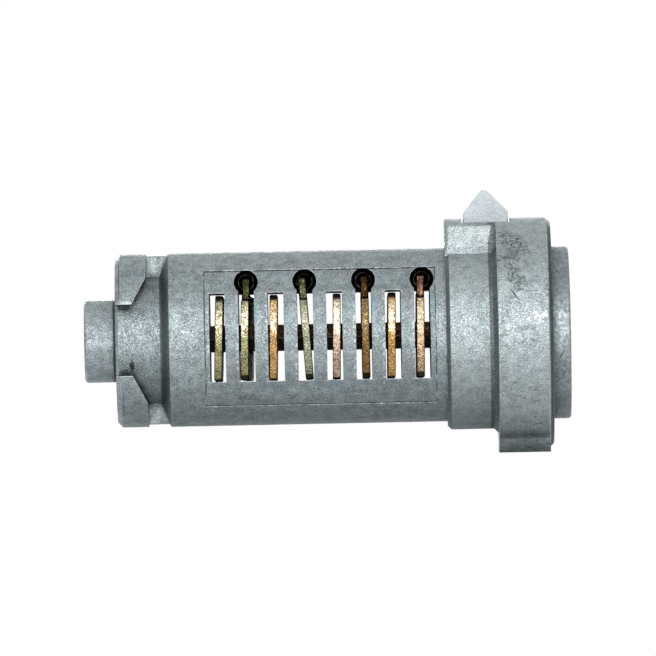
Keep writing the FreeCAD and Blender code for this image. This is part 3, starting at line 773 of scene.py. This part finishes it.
    def line_window(self, graph: Graph, place: Any, parts: list[Any], colour: Any) -> bpy.types.NodeSocket:
        """Draw the dark, broken outline of the moulded window round the slots, with painted glints along its
        long edges.

        Args:
            graph: The material's graph.
            place: The place on the piece.
            parts: Its three parts.
            colour: The colour so far.

        Returns:
            The new colour's socket.
        """
        start, end, high = self.window
        height = graph.maths("ABSOLUTE", parts[2])
        broken = graph.noise(place, 0.9, 0.4, 0.52)
        for middle in (start, end):
            line = graph.within(parts[0], middle - 0.045, middle + 0.045, 0.05)
            beside = graph.maths("MULTIPLY", line, graph.within(height, -1.0, high, 0.1))
            share = graph.maths("MULTIPLY", graph.maths("MULTIPLY", beside, broken), 0.75)
            colour = graph.mix(share, colour, self.dirt_and_shade)
        along = graph.within(parts[0], start, end, 0.1)
        line = graph.maths("MULTIPLY", graph.within(height, high - 0.08, high + 0.02, 0.05), along)
        fainter = graph.spread(parts[2], -1.0, 1.0, 0.3, 0.85)
        share = graph.maths("MULTIPLY", graph.maths("MULTIPLY", line, broken), fainter)
        colour = graph.mix(share, colour, self.dirt_and_shade)
        # painted highlight: pale glints along the window's long edges
        dashes = graph.noise(place, 0.5, 0.56, 0.62)
        glint = graph.maths("MULTIPLY", graph.within(height, high - 0.02, high + 0.1, 0.05), along)
        share = graph.maths("MULTIPLY", graph.maths("MULTIPLY", glint, dashes), 0.4)
        return graph.mix(share, colour, self.pale_tone)


@dataclass(frozen=True)
class CapZinc:
    """Thin cap over the key's end, wrinkled and scratched."""

    name: str = "cap_zinc"
    light: Colour = linear(152, 161, 163)
    dark: Colour = linear(118, 127, 130)
    mark: Colour = linear(70, 77, 78)
    pale_tone: Colour = linear(205, 212, 214)
    edge_wear: float = 0.7
    belly_painted_shade: float = 0.3
    roughness: tuple[float, float] = (0.58, 0.48)
    relief: Relief = Relief(0.2, 0.00005, 0.0001)
    streaks: tuple[Mark, ...] = (
        Mark((32.5, -7.05, -1.9), (0.7, 0.05), linear(52, 58, 58), 0.9, 0.0, 60.0),
        Mark((32.85, -7.15, -0.5), (0.5, 0.04), linear(58, 64, 64), 0.8, 0.0, 76.0),
        Mark((32.7, -6.4, -3.4), (0.45, 0.045), linear(56, 62, 62), 0.85, 0.0, 42.0),
        Mark((32.5, -7.4, 2.6), (0.5, 0.4), linear(96, 106, 110), 0.6, 0.2),
        Mark((32.3, -7.6, 0.6), (0.3, 1.0), linear(122, 131, 134), 0.5, 0.16),
    )

    def build(self) -> bpy.types.Material:
        """Build the cap's material.

        Returns:
            The material.
        """
        material, graph, shader = new_material(self.name)
        place, parts = graph.place()
        grain = graph.effect(Paint.GRAIN, Place=place, Size=0.3)
        colour = graph.mix(grain.outputs["Tone"], self.dark, self.light)
        turned = graph.add("CombineXYZ", {0: parts[2], 1: parts[0], 2: parts[1]})
        wrinkles = graph.effect(Paint.SCRATCHES, Place=turned.outputs[0], Length=1.4, Gap=0.4, Amount=0.9)
        colour = graph.mix(wrinkles.outputs["Mark"], colour, self.mark)
        for streak in self.streaks:
            colour = graph.stain(place, colour, streak)
        # painted shade: the cap is darkened towards its bottom
        belly = graph.spread(parts[2], -6.6, -3.2, self.belly_painted_shade, 0.0)
        colour = graph.mix(belly, colour, self.mark)
        wear = graph.effect(Paint.WEAR, Place=place, Width=0.0001, Breakup=0.5)
        colour = graph.mix(graph.maths("MULTIPLY", wear.outputs["Wear"], self.edge_wear), colour, self.pale_tone)
        shader.inputs["Metallic"].default_value = 1.0
        rough = graph.spread(grain.outputs["Tone"], 0.0, 1.0, *self.roughness)
        height = graph.maths("SUBTRACT", grain.outputs["Height"], wrinkles.outputs["Mark"])
        graph.skin(shader, colour, rough, height, self.relief)
        return material


@dataclass(frozen=True)
class Stamping:
    """Tints of one wafer's plate and ear, and how strong the painted highlight across its edge is."""

    plate: Colour
    ear: Colour
    highlight_share: float


@dataclass(frozen=True)
class StampedBrass:
    """Stamped brass sheet, speckled with tarnish, with painted shade on every face not turned along the slide
    and a painted highlight across its edge.
    """

    name: str
    side: Side
    stamping: Stamping
    tarnish_and_shade: Colour = linear(20, 16, 11)
    shade: Colour = linear(10, 8, 6)
    painted_highlight: Colour = linear(246, 236, 208)
    speckle: float = 0.6
    free_end: float = 3.06
    blunt_end: float = 3.38
    ear_root: float = 3.2
    ear_dark: float = 4.5
    highlight_level: tuple[float, float] = (0.3, 2.5)
    roughness: tuple[float, float] = (0.34, 0.16)
    relief: Relief = Relief(0.8, 0.00004, 0.00007)

    def build(self) -> bpy.types.Material:
        """Build one wafer's material.

        Returns:
            The material.
        """
        material, graph, shader = new_material(self.name)
        place, parts = graph.place()
        colour = self.tint_ends(graph, parts)
        grain = graph.effect(Paint.GRAIN, Place=place, Size=0.15)
        dim = graph.spread(grain.outputs["Tone"], 0.18, 0.6, self.speckle, 0.0)
        colour = graph.mix(dim, colour, self.tarnish_and_shade)
        # painted highlight: a pale band across the edge at the height where the light falls
        level = graph.within(parts[2], *self.highlight_level, 1.6)
        highlighted = graph.maths("MULTIPLY", level, graph.noise(place, 0.32, 0.34, 0.56))
        colour = graph.mix(graph.maths("MULTIPLY", highlighted, self.stamping.highlight_share), colour, self.painted_highlight)
        turned = graph.add("SeparateXYZ", {0: graph.add("TexCoord").outputs["Normal"]})
        # painted shade: faces not turned along the slide take the dark colour
        rubbed = graph.spread(graph.maths("ABSOLUTE", turned.outputs[1]), 0.7, 0.86)
        colour = graph.mix(rubbed, self.tarnish_and_shade, colour)
        # painted shade: ambient-occlusion darkening in cavities
        cavity_shade = graph.effect(Paint.CAVITY_SHADE, Place=place, Reach=0.0018, Open=0.7, Breakup=0.6)
        colour = graph.mix(cavity_shade.outputs["Dirt"], colour, self.shade)
        shader.inputs["Metallic"].default_value = 1.0
        rough = graph.spread(grain.outputs["Tone"], 0.1, 0.8, *self.roughness)
        graph.skin(shader, colour, rough, grain.outputs["Height"], self.relief)
        return material

    def tint_ends(self, graph: Graph, parts: list[Any]) -> bpy.types.NodeSocket:
        """Tint the ear apart from the plate, and paint shade on the wafer's ends, on the ear's root and on
        the ear's upper part.

        Args:
            graph: The material's graph.
            parts: The three parts of the place.

        Returns:
            The colour's socket.
        """
        side = float(self.side.value)
        height = graph.maths("MULTIPLY", parts[2], side)
        ahead = graph.spread(graph.maths("MULTIPLY", parts[1], -side), 0.5, 1.5)
        past_root = graph.spread(height, self.ear_root - 0.06, self.ear_root + 0.06)
        eared = graph.maths("MULTIPLY", past_root, ahead)
        colour = graph.mix(eared, self.stamping.plate, self.stamping.ear)
        root = graph.within(height, self.ear_root - 0.1, self.ear_root + 0.06, 0.06)
        root = graph.maths("MULTIPLY", root, graph.maths("MULTIPLY", ahead, 0.85))
        colour = graph.mix(root, colour, self.shade)
        # painted shade: the ear darkens towards its top, deeper in the bore
        hidden = graph.spread(height, self.ear_root + 0.3, self.ear_dark, 0.0, 0.8)
        colour = graph.mix(graph.maths("MULTIPLY", hidden, ahead), colour, self.shade)
        below = graph.maths("MULTIPLY", height, -1.0)
        free = graph.spread(below, self.free_end - 0.1, self.free_end + 0.1)
        behind = graph.maths("SUBTRACT", 1.0, ahead)
        past_end = graph.spread(height, self.blunt_end - 0.06, self.blunt_end + 0.06)
        ends = graph.maths("MAXIMUM", free, graph.maths("MULTIPLY", past_end, behind))
        return graph.mix(graph.maths("MULTIPLY", ends, 0.93), colour, self.shade)


@dataclass(frozen=True)
class TarnishedBlade:
    """Dark brown brass of the setting blade, lighter with pale flecks in its upper half as painted light,
    with a pale scuff along its middle.
    """

    name: str = "blade_brass"
    lit_upper: Colour = linear(60, 42, 30)
    lower: Colour = linear(24, 18, 14)
    scuff: Colour = linear(140, 120, 96)
    roughness: tuple[float, float] = (0.6, 0.4)
    relief: Relief = Relief(0.5, 0.00004)

    def build(self) -> bpy.types.Material:
        """Build the blade's material.

        Returns:
            The material.
        """
        material, graph, shader = new_material(self.name)
        place, parts = graph.place()
        grain = graph.effect(Paint.GRAIN, Place=place, Size=0.2)
        # painted light: the upper half is lighter and flecked
        half = graph.spread(parts[2], -0.15, 0.25)
        colour = graph.mix(half, self.lower, self.lit_upper)
        colour = graph.mix(graph.spread(grain.outputs["Tone"], 0.2, 0.6, 0.7, 0.0), colour, self.lower)
        line = graph.spread(graph.maths("ABSOLUTE", parts[2]), 0.02, 0.09, 0.6, 0.0)
        colour = graph.mix(graph.maths("MULTIPLY", line, grain.outputs["Tone"]), colour, self.scuff)
        flecks = graph.maths("MULTIPLY", graph.noise(place, 0.35, 0.58, 0.7), half)
        colour = graph.mix(graph.maths("MULTIPLY", flecks, 0.6), colour, self.scuff)
        shader.inputs["Metallic"].default_value = 0.85
        rough = graph.spread(grain.outputs["Tone"], 0.0, 1.0, *self.roughness)
        graph.skin(shader, colour, rough, grain.outputs["Height"], self.relief)
        return material


@dataclass(frozen=True)
class SpringWire:
    """Drawn steel wire with a fine grain."""

    name: str = "spring_steel"
    light: Colour = linear(118, 116, 112)
    dark: Colour = linear(66, 62, 57)
    shade: Colour = linear(26, 22, 19)
    roughness: tuple[float, float] = (0.5, 0.34)
    relief: Relief = Relief(0.3, 0.00001)

    def build(self) -> bpy.types.Material:
        """Build the springs' material.

        Returns:
            The material.
        """
        material, graph, shader = new_material(self.name)
        place, _ = graph.place()
        grain = graph.effect(Paint.GRAIN, Place=place, Size=0.12)
        colour = graph.mix(grain.outputs["Tone"], self.dark, self.light)
        # painted shade: ambient-occlusion darkening where the coils crowd
        cavity_shade = graph.effect(Paint.CAVITY_SHADE, Place=place, Reach=0.0015, Breakup=0.5)
        colour = graph.mix(cavity_shade.outputs["Dirt"], colour, self.shade)
        shader.inputs["Metallic"].default_value = 1.0
        rough = graph.spread(grain.outputs["Tone"], 0.0, 1.0, *self.roughness)
        graph.skin(shader, colour, rough, grain.outputs["Height"], self.relief)
        return material


@dataclass(frozen=True)
class MilkPlastic:
    """Natural white plastic that lets a little light in, handled and slightly grey, with painted light on its
    edges.
    """

    name: str = "white_plastic"
    clean: Colour = linear(163, 171, 175)
    soiled: Colour = linear(152, 160, 165)
    thin: Colour = linear(232, 237, 240)
    rim_painted_light: float = 0.7
    scuff: Mark = Mark((25.6, -1.3, 10.1), (1.1, 0.75), linear(188, 193, 196), 0.6, 0.16)
    roughness: tuple[float, float] = (0.5, 0.32)
    relief: Relief = Relief(0.35, 0.00003)

    def build(self) -> bpy.types.Material:
        """Build the plunger's material.

        Returns:
            The material.
        """
        material, graph, shader = new_material(self.name)
        place, _ = graph.place()
        grain = graph.effect(Paint.GRAIN, Place=place, Size=0.22)
        colour = graph.mix(graph.spread(grain.outputs["Tone"], 0.15, 0.6), self.soiled, self.clean)
        colour = graph.stain(place, colour, self.scuff)
        # painted light: the moulded edges are lightened, standing in for light through the thin plastic
        edges = graph.effect(Paint.WEAR, Place=place, Width=0.0003, Breakup=0.5)
        pale = graph.maths("MULTIPLY", edges.outputs["Wear"], self.rim_painted_light)
        colour = graph.mix(pale, colour, self.thin)
        shader.inputs["Subsurface Weight"].default_value = 0.35
        shader.inputs["Subsurface Scale"].default_value = 0.0008
        shader.inputs["Subsurface Radius"].default_value = (1.0, 1.0, 1.0)
        rough = graph.spread(grain.outputs["Tone"], 0.0, 1.0, *self.roughness)
        graph.skin(shader, colour, rough, grain.outputs["Height"], self.relief)
        return material


@dataclass(frozen=True)
class PaleFloor:
    """Matt pale floor that fades to plain white away from the object, and glows beside it for rays other than
    the camera's, lighting the object's lower parts softly.
    """

    name: str = "pale_floor"
    colour: Colour = (0.92, 0.925, 0.93)
    whitening: float = 0.85
    fade: tuple[float, float] = (14.0, 60.0)
    glow: float = 0.55
    glow_fade: tuple[float, float] = (3.0, 14.0)
    middle: Triple = (13.0, 0.0, 0.0)
    squeeze: Triple = (0.5, 1.0, 0.0)

    def build(self) -> bpy.types.Material:
        """Build the floor's material.

        Returns:
            The material.
        """
        material, graph, shader = new_material(self.name)
        shader.inputs["Base Color"].default_value = (*self.colour, 1)
        place, parts = graph.place()
        noise = graph.add("TexNoise", {"Vector": place, "Scale": 0.2})
        graph.feed(shader.inputs["Roughness"], graph.spread(noise.outputs[0], 0.2, 0.8, 0.8, 0.9))
        path = graph.add("LightPath")
        white = graph.add("Emission", {"Color": (1.0, 1.0, 1.0), "Strength": 1.0})
        off = graph.add("VectorMath", {0: place, 1: self.middle}, operation="SUBTRACT")
        flat = graph.add("VectorMath", {0: off.outputs[0], 1: self.squeeze}, operation="MULTIPLY")
        away = graph.add("VectorMath", {0: flat.outputs[0]}, operation="LENGTH")
        level = graph.spread(away.outputs["Value"], *self.fade, self.whitening, 1.0)
        glow = graph.spread(graph.maths("ABSOLUTE", parts[1]), *self.glow_fade, 0.0, self.glow)
        seen = path.outputs["Is Camera Ray"]
        unseen = graph.maths("MULTIPLY", graph.maths("SUBTRACT", 1.0, seen), glow)
        share = graph.maths("ADD", graph.maths("MULTIPLY", seen, level), unseen)
        both = graph.add("MixShader", {0: share, 1: shader.outputs[0], 2: white.outputs[0]})
        output = next(node for node in graph.tree.nodes if node.type == "OUTPUT_MATERIAL")
        graph.feed(output.inputs["Surface"], both.outputs[0])
        return material


def dress(piece: bpy.types.Object, material: bpy.types.Material) -> None:
    """Put one material on every slot of a piece.

    Args:
        piece: The object.
        material: Its material.
    """
    if piece.material_slots:
        for used in piece.material_slots:
            used.material = material
    else:
        piece.data.materials.append(material)


@dataclass(frozen=True)
class Ledge:
    """Narrow ledge at the top of the ring's pad, closed against the ring's round, in millimetres."""

    height: float = -9.03
    ring: float = 9.63
    new_height: float = -8.8
    reach: float = 0.008

    def close(self, mesh: bmesh.types.BMesh) -> list[bmesh.types.BMVert]:
        """Draw the ledge's outer corners on to the ring.

        Args:
            mesh: The casting's mesh.

        Returns:
            The corners.
        """
        out = math.sqrt(self.ring**2 - self.new_height**2) * MM
        moved = []
        for corner in mesh.verts:
            away = math.hypot(corner.co.y, corner.co.z) - self.ring * MM
            if abs(corner.co.z - self.height * MM) < self.reach * MM and away > self.reach * MM:
                corner.co.z = self.new_height * MM
                corner.co.y = math.copysign(out, corner.co.y)
                moved.append(corner)
        return moved


def round_edges(
    mesh: bmesh.types.BMesh, width: float, steps: int, spared: set[bmesh.types.BMVert]
) -> None:
    """Round a mesh's sharp edges.

    Args:
        mesh: The mesh.
        width: How far they are rounded, in millimetres.
        steps: Facets across a rounded edge.
        spared: Corners; an edge between two of them stays as it is.
    """
    sharp = [
        edge
        for edge in mesh.edges
        if edge.calc_face_angle(0.0) > SHARP_ANGLE and not spared.issuperset(edge.verts)
    ]
    bmesh.ops.bevel(
        mesh,
        geom=sharp,
        offset=width * MM,
        offset_type="OFFSET",
        segments=steps,
        profile=0.5,
        affect="EDGES",
        clamp_overlap=True,
    )


def soften(
    node: bpy.types.Object,
    width: float,
    steps: int,
    material: bpy.types.Material,
    body: str,
    ledge: Ledge | None = None,
) -> bpy.types.Object:
    """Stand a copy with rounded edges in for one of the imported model's nodes.

    Args:
        node: The node.
        width: How far its edges are rounded, in millimetres.
        steps: Facets across a rounded edge.
        material: The copy's material.
        body: The body that it rides on.
        ledge: A ledge that is closed first.

    Returns:
        The copy.
    """
    mesh = bmesh.new()
    mesh.from_mesh(node.data)
    bmesh.ops.remove_doubles(mesh, verts=mesh.verts, dist=1e-7)
    closed = set(ledge.close(mesh)) if ledge else set()
    bmesh.ops.dissolve_limit(mesh, angle_limit=FLAT_ANGLE, verts=mesh.verts, edges=mesh.edges)
    round_edges(mesh, width, steps, closed)
    bmesh.ops.triangulate(mesh, faces=[face for face in mesh.faces if len(face.verts) > 4])
    for face in mesh.faces:
        face.smooth = True
    piece = new_piece(f"{node.name}_softened", mesh, material)
    piece.data.set_sharp_from_angle(angle=CREASE_ANGLE)
    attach(piece, body)
    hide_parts(node.name)
    LOG.info("softened %s and closed %d of its corners", node.name, len(closed))
    return piece


def new_piece(name: str, mesh: bmesh.types.BMesh, material: bpy.types.Material) -> bpy.types.Object:
    """Make an object from mesh code.

    Args:
        name: The piece's name.
        mesh: Its mesh, in metres in the model's frame.
        material: Its material.

    Returns:
        The new object, in the scene.
    """
    data = bpy.data.meshes.new(name)
    bmesh.ops.recalc_face_normals(mesh, faces=mesh.faces)
    mesh.to_mesh(data)
    mesh.free()
    piece = bpy.data.objects.new(name, data)
    bpy.context.scene.collection.objects.link(piece)
    data.materials.append(material)
    return piece


@dataclass
class Coil:
    """A compression spring of round wire with closed ends; its length at rest and its travel are kept but not
    used.
    """

    wire: float
    turns: float
    rest_length: float
    travel: float
    along: Along
    steps: int = 28
    sides: int = 12
    closed: float = 1.0

    def fit(self, name: str, node: str, slide: str, floor: float, material: bpy.types.Material) -> None:
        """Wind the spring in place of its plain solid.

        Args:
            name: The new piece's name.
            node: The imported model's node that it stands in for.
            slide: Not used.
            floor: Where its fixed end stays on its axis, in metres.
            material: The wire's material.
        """
        axis = self.along.value
        across = (axis + 1) % 3
        low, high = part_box(node)
        start = (low + high) / 2
        end = start.copy()
        anchor = list(start)
        start[axis] = low[axis]
        end[axis] = high[axis]
        anchor[axis] = floor
        radius = (high[across] - low[across]) / 2 - self.wire * MM / 2
        piece = new_piece(name, self.mesh(start, end, radius), material)
        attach(piece, "plug")
        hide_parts(node)
        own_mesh(piece)
        LOG.info("wound %s", name)

    def rise(self, turn: float, length: float) -> float:
        """Say how far along its axis the wire has come.

        Args:
            turn: Turns from the spring's first end.
            length: From the first turn's start to the last one's end, in metres.

        Returns:
            The way along the axis, in metres.
        """
        wire = self.wire * MM
        low = wire * self.closed
        if turn < self.closed:
            return wire * turn
        if turn > self.turns - self.closed:
            return length - wire * (self.turns - turn)
        return low + (length - 2 * low) * (turn - self.closed) / (self.turns - 2 * self.closed)

    def mesh(self, start: Vector, end: Vector, radius: float) -> bmesh.types.BMesh:
        """Wind the spring between two points on its axis.

        Args:
            start: Where its first turn lies, in metres.
            end: Where its last turn lies.
            radius: From the axis to the middle of the wire, in metres.

        Returns:
            The spring's mesh.
        """
        axis = (end - start).normalized()
        out = axis.orthogonal().normalized()
        side = axis.cross(out)
        wire = self.wire * MM / 2
        length = (end - start).length - 2 * wire
        mesh = bmesh.new()
        rings = []
        for step in range(round(self.turns * self.steps) + 1):
            turn = step / self.steps
            angle = math.tau * turn
            way = out * math.cos(angle) + side * math.sin(angle)
            middle = start + axis * (wire + self.rise(turn, length)) + way * radius
            ring = []
            for corner in range(self.sides):
                lean = math.tau * corner / self.sides
                ring.append(mesh.verts.new(middle + (way * math.cos(lean) + axis * math.sin(lean)) * wire))
            rings.append(ring)
        for first, second in zip(rings, rings[1:]):
            for corner in range(self.sides):
                after = (corner + 1) % self.sides
                mesh.faces.new((first[corner], first[after], second[after], second[corner]))
        mesh.faces.new(rings[0])
        mesh.faces.new(rings[-1])
        for face in mesh.faces:
            face.smooth = True
        return mesh


@dataclass
class Plug:
    """The casting, its face cap and the blade in its keyway."""

    casting: CastZinc = field(default_factory=CastZinc)
    cap: CapZinc = field(default_factory=CapZinc)
    blade: TarnishedBlade = field(default_factory=TarnishedBlade)
    ledge: Ledge = field(default_factory=Ledge)
    casting_edge: float = 0.08
    cap_edge: float = 0.05
    edge_steps: int = 2

    def build(self, nodes: dict[str, bpy.types.Object]) -> None:
        """Dress the plug's own nodes.

        Args:
            nodes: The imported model's nodes, by name.
        """
        zinc = self.casting.build()
        steps = self.edge_steps
        soften(nodes["plug_casting"], self.casting_edge, steps, zinc, "plug", self.ledge)
        soften(nodes["face_cap"], self.cap_edge, steps, self.cap.build(), "plug")
        dress(nodes["setting_blade"], self.blade.build())
        LOG.info("dressed the casting, its cap and the blade")


@dataclass
class WaferStack:
    """Eight brass wafers, each with a coil spring in its bore."""

    stampings: tuple[Stamping, ...] = (
        Stamping(linear(136, 133, 98), linear(120, 112, 76), 0.54),
        Stamping(linear(144, 142, 104), linear(98, 104, 62), 0.7),
        Stamping(linear(174, 137, 88), linear(130, 100, 62), 0.54),
        Stamping(linear(133, 139, 114), linear(134, 136, 96), 0.18),
        Stamping(linear(180, 154, 132), linear(130, 104, 78), 0.74),
        Stamping(linear(122, 95, 55), linear(112, 80, 40), 0.1),
        Stamping(linear(172, 134, 78), linear(124, 94, 54), 0.7),
        Stamping(linear(186, 160, 127), linear(186, 140, 112), 0.34),
    )
    coil: Coil = field(default_factory=lambda: Coil(0.28, 7.0, rest_length=5.4, travel=0.8, along=Along.Y))
    edge: float = 0.12
    edge_steps: int = 3
    bore_floor: float = 2.4

    def build(self, nodes: dict[str, bpy.types.Object], wire: bpy.types.Material) -> None:
        """Dress the wafers and wind their springs.

        Args:
            nodes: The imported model's nodes, by name.
            wire: The springs' material.
        """
        for number, stamping in enumerate(self.stampings, start=1):
            side = Side.NEAR if number % 2 == 0 else Side.FAR
            name = f"wafer_{number}"
            brass = StampedBrass(f"wafer_brass_{number}", side, stamping).build()
            soften(nodes[name], self.edge, self.edge_steps, brass, name)
            floor = side.value * self.bore_floor * MM
            self.coil.fit(f"wafer_coil_{number}", f"wafer_spring_{number}", f"{name}_slide", floor, wire)
            LOG.info("stamped %s", name)


@dataclass
class WarningPlunger:
    """The white plunger on the flange's boss, with its foot and its spring."""

    finish: MilkPlastic = field(default_factory=MilkPlastic)
    coil: Coil = field(default_factory=lambda: Coil(0.3, 6.0, rest_length=3.3, travel=1.6, along=Along.Z))
    foot_reach: float = 0.3
    foot_height: float = 1.28
    shoulder_drop: float = 1.88
    step: float = 0.1
    flat: float = 0.4
    ridge: float = 0.12
    edge: float = 0.2
    edge_steps: int = 4

    def build(self, wire: bpy.types.Material) -> None:
        """Mould the plunger and wind its spring.

        Args:
            wire: The spring's material.
        """
        piece = new_piece("plunger_moulding", self.mould(), self.finish.build())
        bevel = piece.modifiers.new("moulded_edges", "BEVEL")
        bevel.width = self.edge * MM
        bevel.segments = self.edge_steps
        bevel.limit_method = "ANGLE"
        bevel.angle_limit = MOULDED_ANGLE
        bevel.use_clamp_overlap = True
        bevel.harden_normals = True
        piece.data.shade_smooth()
        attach(piece, "plunger")
        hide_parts("warning_plunger")
        LOG.info("moulded the plunger")
        low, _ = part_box("plunger_spring")
        self.coil.fit("plunger_coil", "plunger_spring", "plunger_slide", low.z, wire)

    def mould(self) -> bmesh.types.BMesh:
        """Shape the plunger from its side outline.

        Returns:
            The plunger's mesh.
        """
        low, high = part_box("warning_plunger")
        rear = low.x + self.foot_reach * MM
        front = high.x - self.foot_reach * MM
        foot = low.z + self.foot_height * MM
        shoulder = high.z - self.shoulder_drop * MM
        ridge = (rear + front) / 2 - self.ridge * MM
        half = self.flat * MM / 2
        corners = [
            (low.x, low.z),
            (high.x, low.z),
            (high.x, foot),
            (front, foot),
            (front, shoulder + self.step * MM),
            (ridge + half, high.z),
            (ridge - half, high.z),
            (rear, shoulder),
            (rear, foot),
            (low.x, foot),
        ]
        mesh = bmesh.new()
        near = [mesh.verts.new((x, low.y, z)) for x, z in corners]
        far = [mesh.verts.new((x, high.y, z)) for x, z in corners]
        mesh.faces.new(near)
        mesh.faces.new(list(reversed(far)))
        for index in range(len(corners)):
            after = (index + 1) % len(corners)
            mesh.faces.new((near[index], far[index], far[after], near[after]))
        return mesh


@dataclass(frozen=True)
class Softbox:
    """A lamp with a broad soft face: its place, width and height in millimetres, its power in watts."""

    name: str
    place: Triple
    size: tuple[float, float]
    power: float


@dataclass
class Studio:
    """Camera, lamps, backdrop colour and floor."""

    lamps: tuple[Softbox, ...] = (
        Softbox("front_softbox", (20.0, -420.0, 140.0), (240.0, 90.0), 0.75),
        Softbox("low_softbox", (20.0, -420.0, 24.0), (240.0, 64.0), 0.52),
        Softbox("back_softbox", (0.0, 420.0, 70.0), (240.0, 90.0), 0.9),
    )
    target: Triple = (13.17, 0.0, 0.75)
    distance: float = 950.0
    elevation: float = -0.6
    roll: float = -1.17
    lens: float = 625.2
    floor_height: float = -9.95
    floor_radius: float = 220.0
    fill: float = 0.95

    def build(self) -> None:
        """Set up the whole studio."""
        self.place_camera()
        self.light_backdrop()
        for lamp in self.lamps:
            self.hang(lamp)
        self.lay_floor()
        bpy.context.scene.view_settings.view_transform = "Standard"
        LOG.info("set up the studio")

    def place_camera(self) -> None:
        """Put the camera at the photograph's angle."""
        data = bpy.data.cameras.new("camera")
        data.lens = self.lens
        data.sensor_width = 36
        data.clip_start = 0.01
        data.clip_end = 10
        camera = bpy.data.objects.new("camera", data)
        bpy.context.scene.collection.objects.link(camera)
        lean = math.radians(self.elevation)
        target = Vector(self.target) * MM
        away = Vector((0, -math.cos(lean), math.sin(lean))) * self.distance * MM
        turned = Euler((math.radians(90) - lean, 0, 0)).to_matrix().to_4x4()
        rolled = Matrix.Rotation(math.radians(self.roll), 4, "Z")
        camera.matrix_world = Matrix.Translation(target + away) @ turned @ rolled
        bpy.context.scene.camera = camera

    def light_backdrop(self) -> None:
        """Show a white surround to the camera and to gloss, and light softly with less."""
        world = bpy.data.worlds.new("studio")
        world.use_nodes = True
        bpy.context.scene.world = world
        graph = Graph(world.node_tree)
        path = graph.add("LightPath")
        seen = graph.maths("MAXIMUM", path.outputs["Is Camera Ray"], path.outputs["Is Glossy Ray"])
        seen = graph.maths("MAXIMUM", seen, path.outputs["Is Transmission Ray"])
        strength = graph.spread(seen, 0.0, 1.0, self.fill, 1.0)
        background = graph.add("Background", {"Color": (1.0, 1.0, 1.0), "Strength": strength})
        output = graph.add("OutputWorld")
        graph.tree.links.new(background.outputs[0], output.inputs["Surface"])

    def hang(self, softbox: Softbox) -> None:
        """Hang a lamp that points at the object.

        Args:
            softbox: The lamp.
        """
        data = bpy.data.lights.new(softbox.name, "AREA")
        data.shape = "RECTANGLE"
        data.size = softbox.size[0] * MM
        data.size_y = softbox.size[1] * MM
        data.energy = softbox.power
        lamp = bpy.data.objects.new(softbox.name, data)
        bpy.context.scene.collection.objects.link(lamp)
        lamp.location = Vector(softbox.place) * MM
        towards = Vector(self.target) * MM - lamp.location
        lamp.rotation_euler = towards.to_track_quat("-Z", "Y").to_euler()

    def lay_floor(self) -> None:
        """Lay the floor under the ring's pad."""
        mesh = bmesh.new()
        middle = Vector((self.target[0], 0, self.floor_height)) * MM
        bmesh.ops.create_circle(
            mesh, cap_ends=True, radius=self.floor_radius * MM, segments=96, matrix=Matrix.Translation(middle)
        )
        floor = new_piece("floor", mesh, PaleFloor().build())


def main() -> None:
    """Load the frame, dress it and set up the studio."""
    logging.basicConfig(level=logging.INFO, format="%(name)s: %(message)s")
    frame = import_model()
    for build_group in (build_grain, build_wear, build_scratches, build_cavity_shade):
        build_group()
    wire = SpringWire().build()
    Studio().build()
    Plug().build(frame["nodes"])
    WaferStack().build(frame["nodes"], wire)
    WarningPlunger().build(wire)


if __name__ == "__main__":
    main()
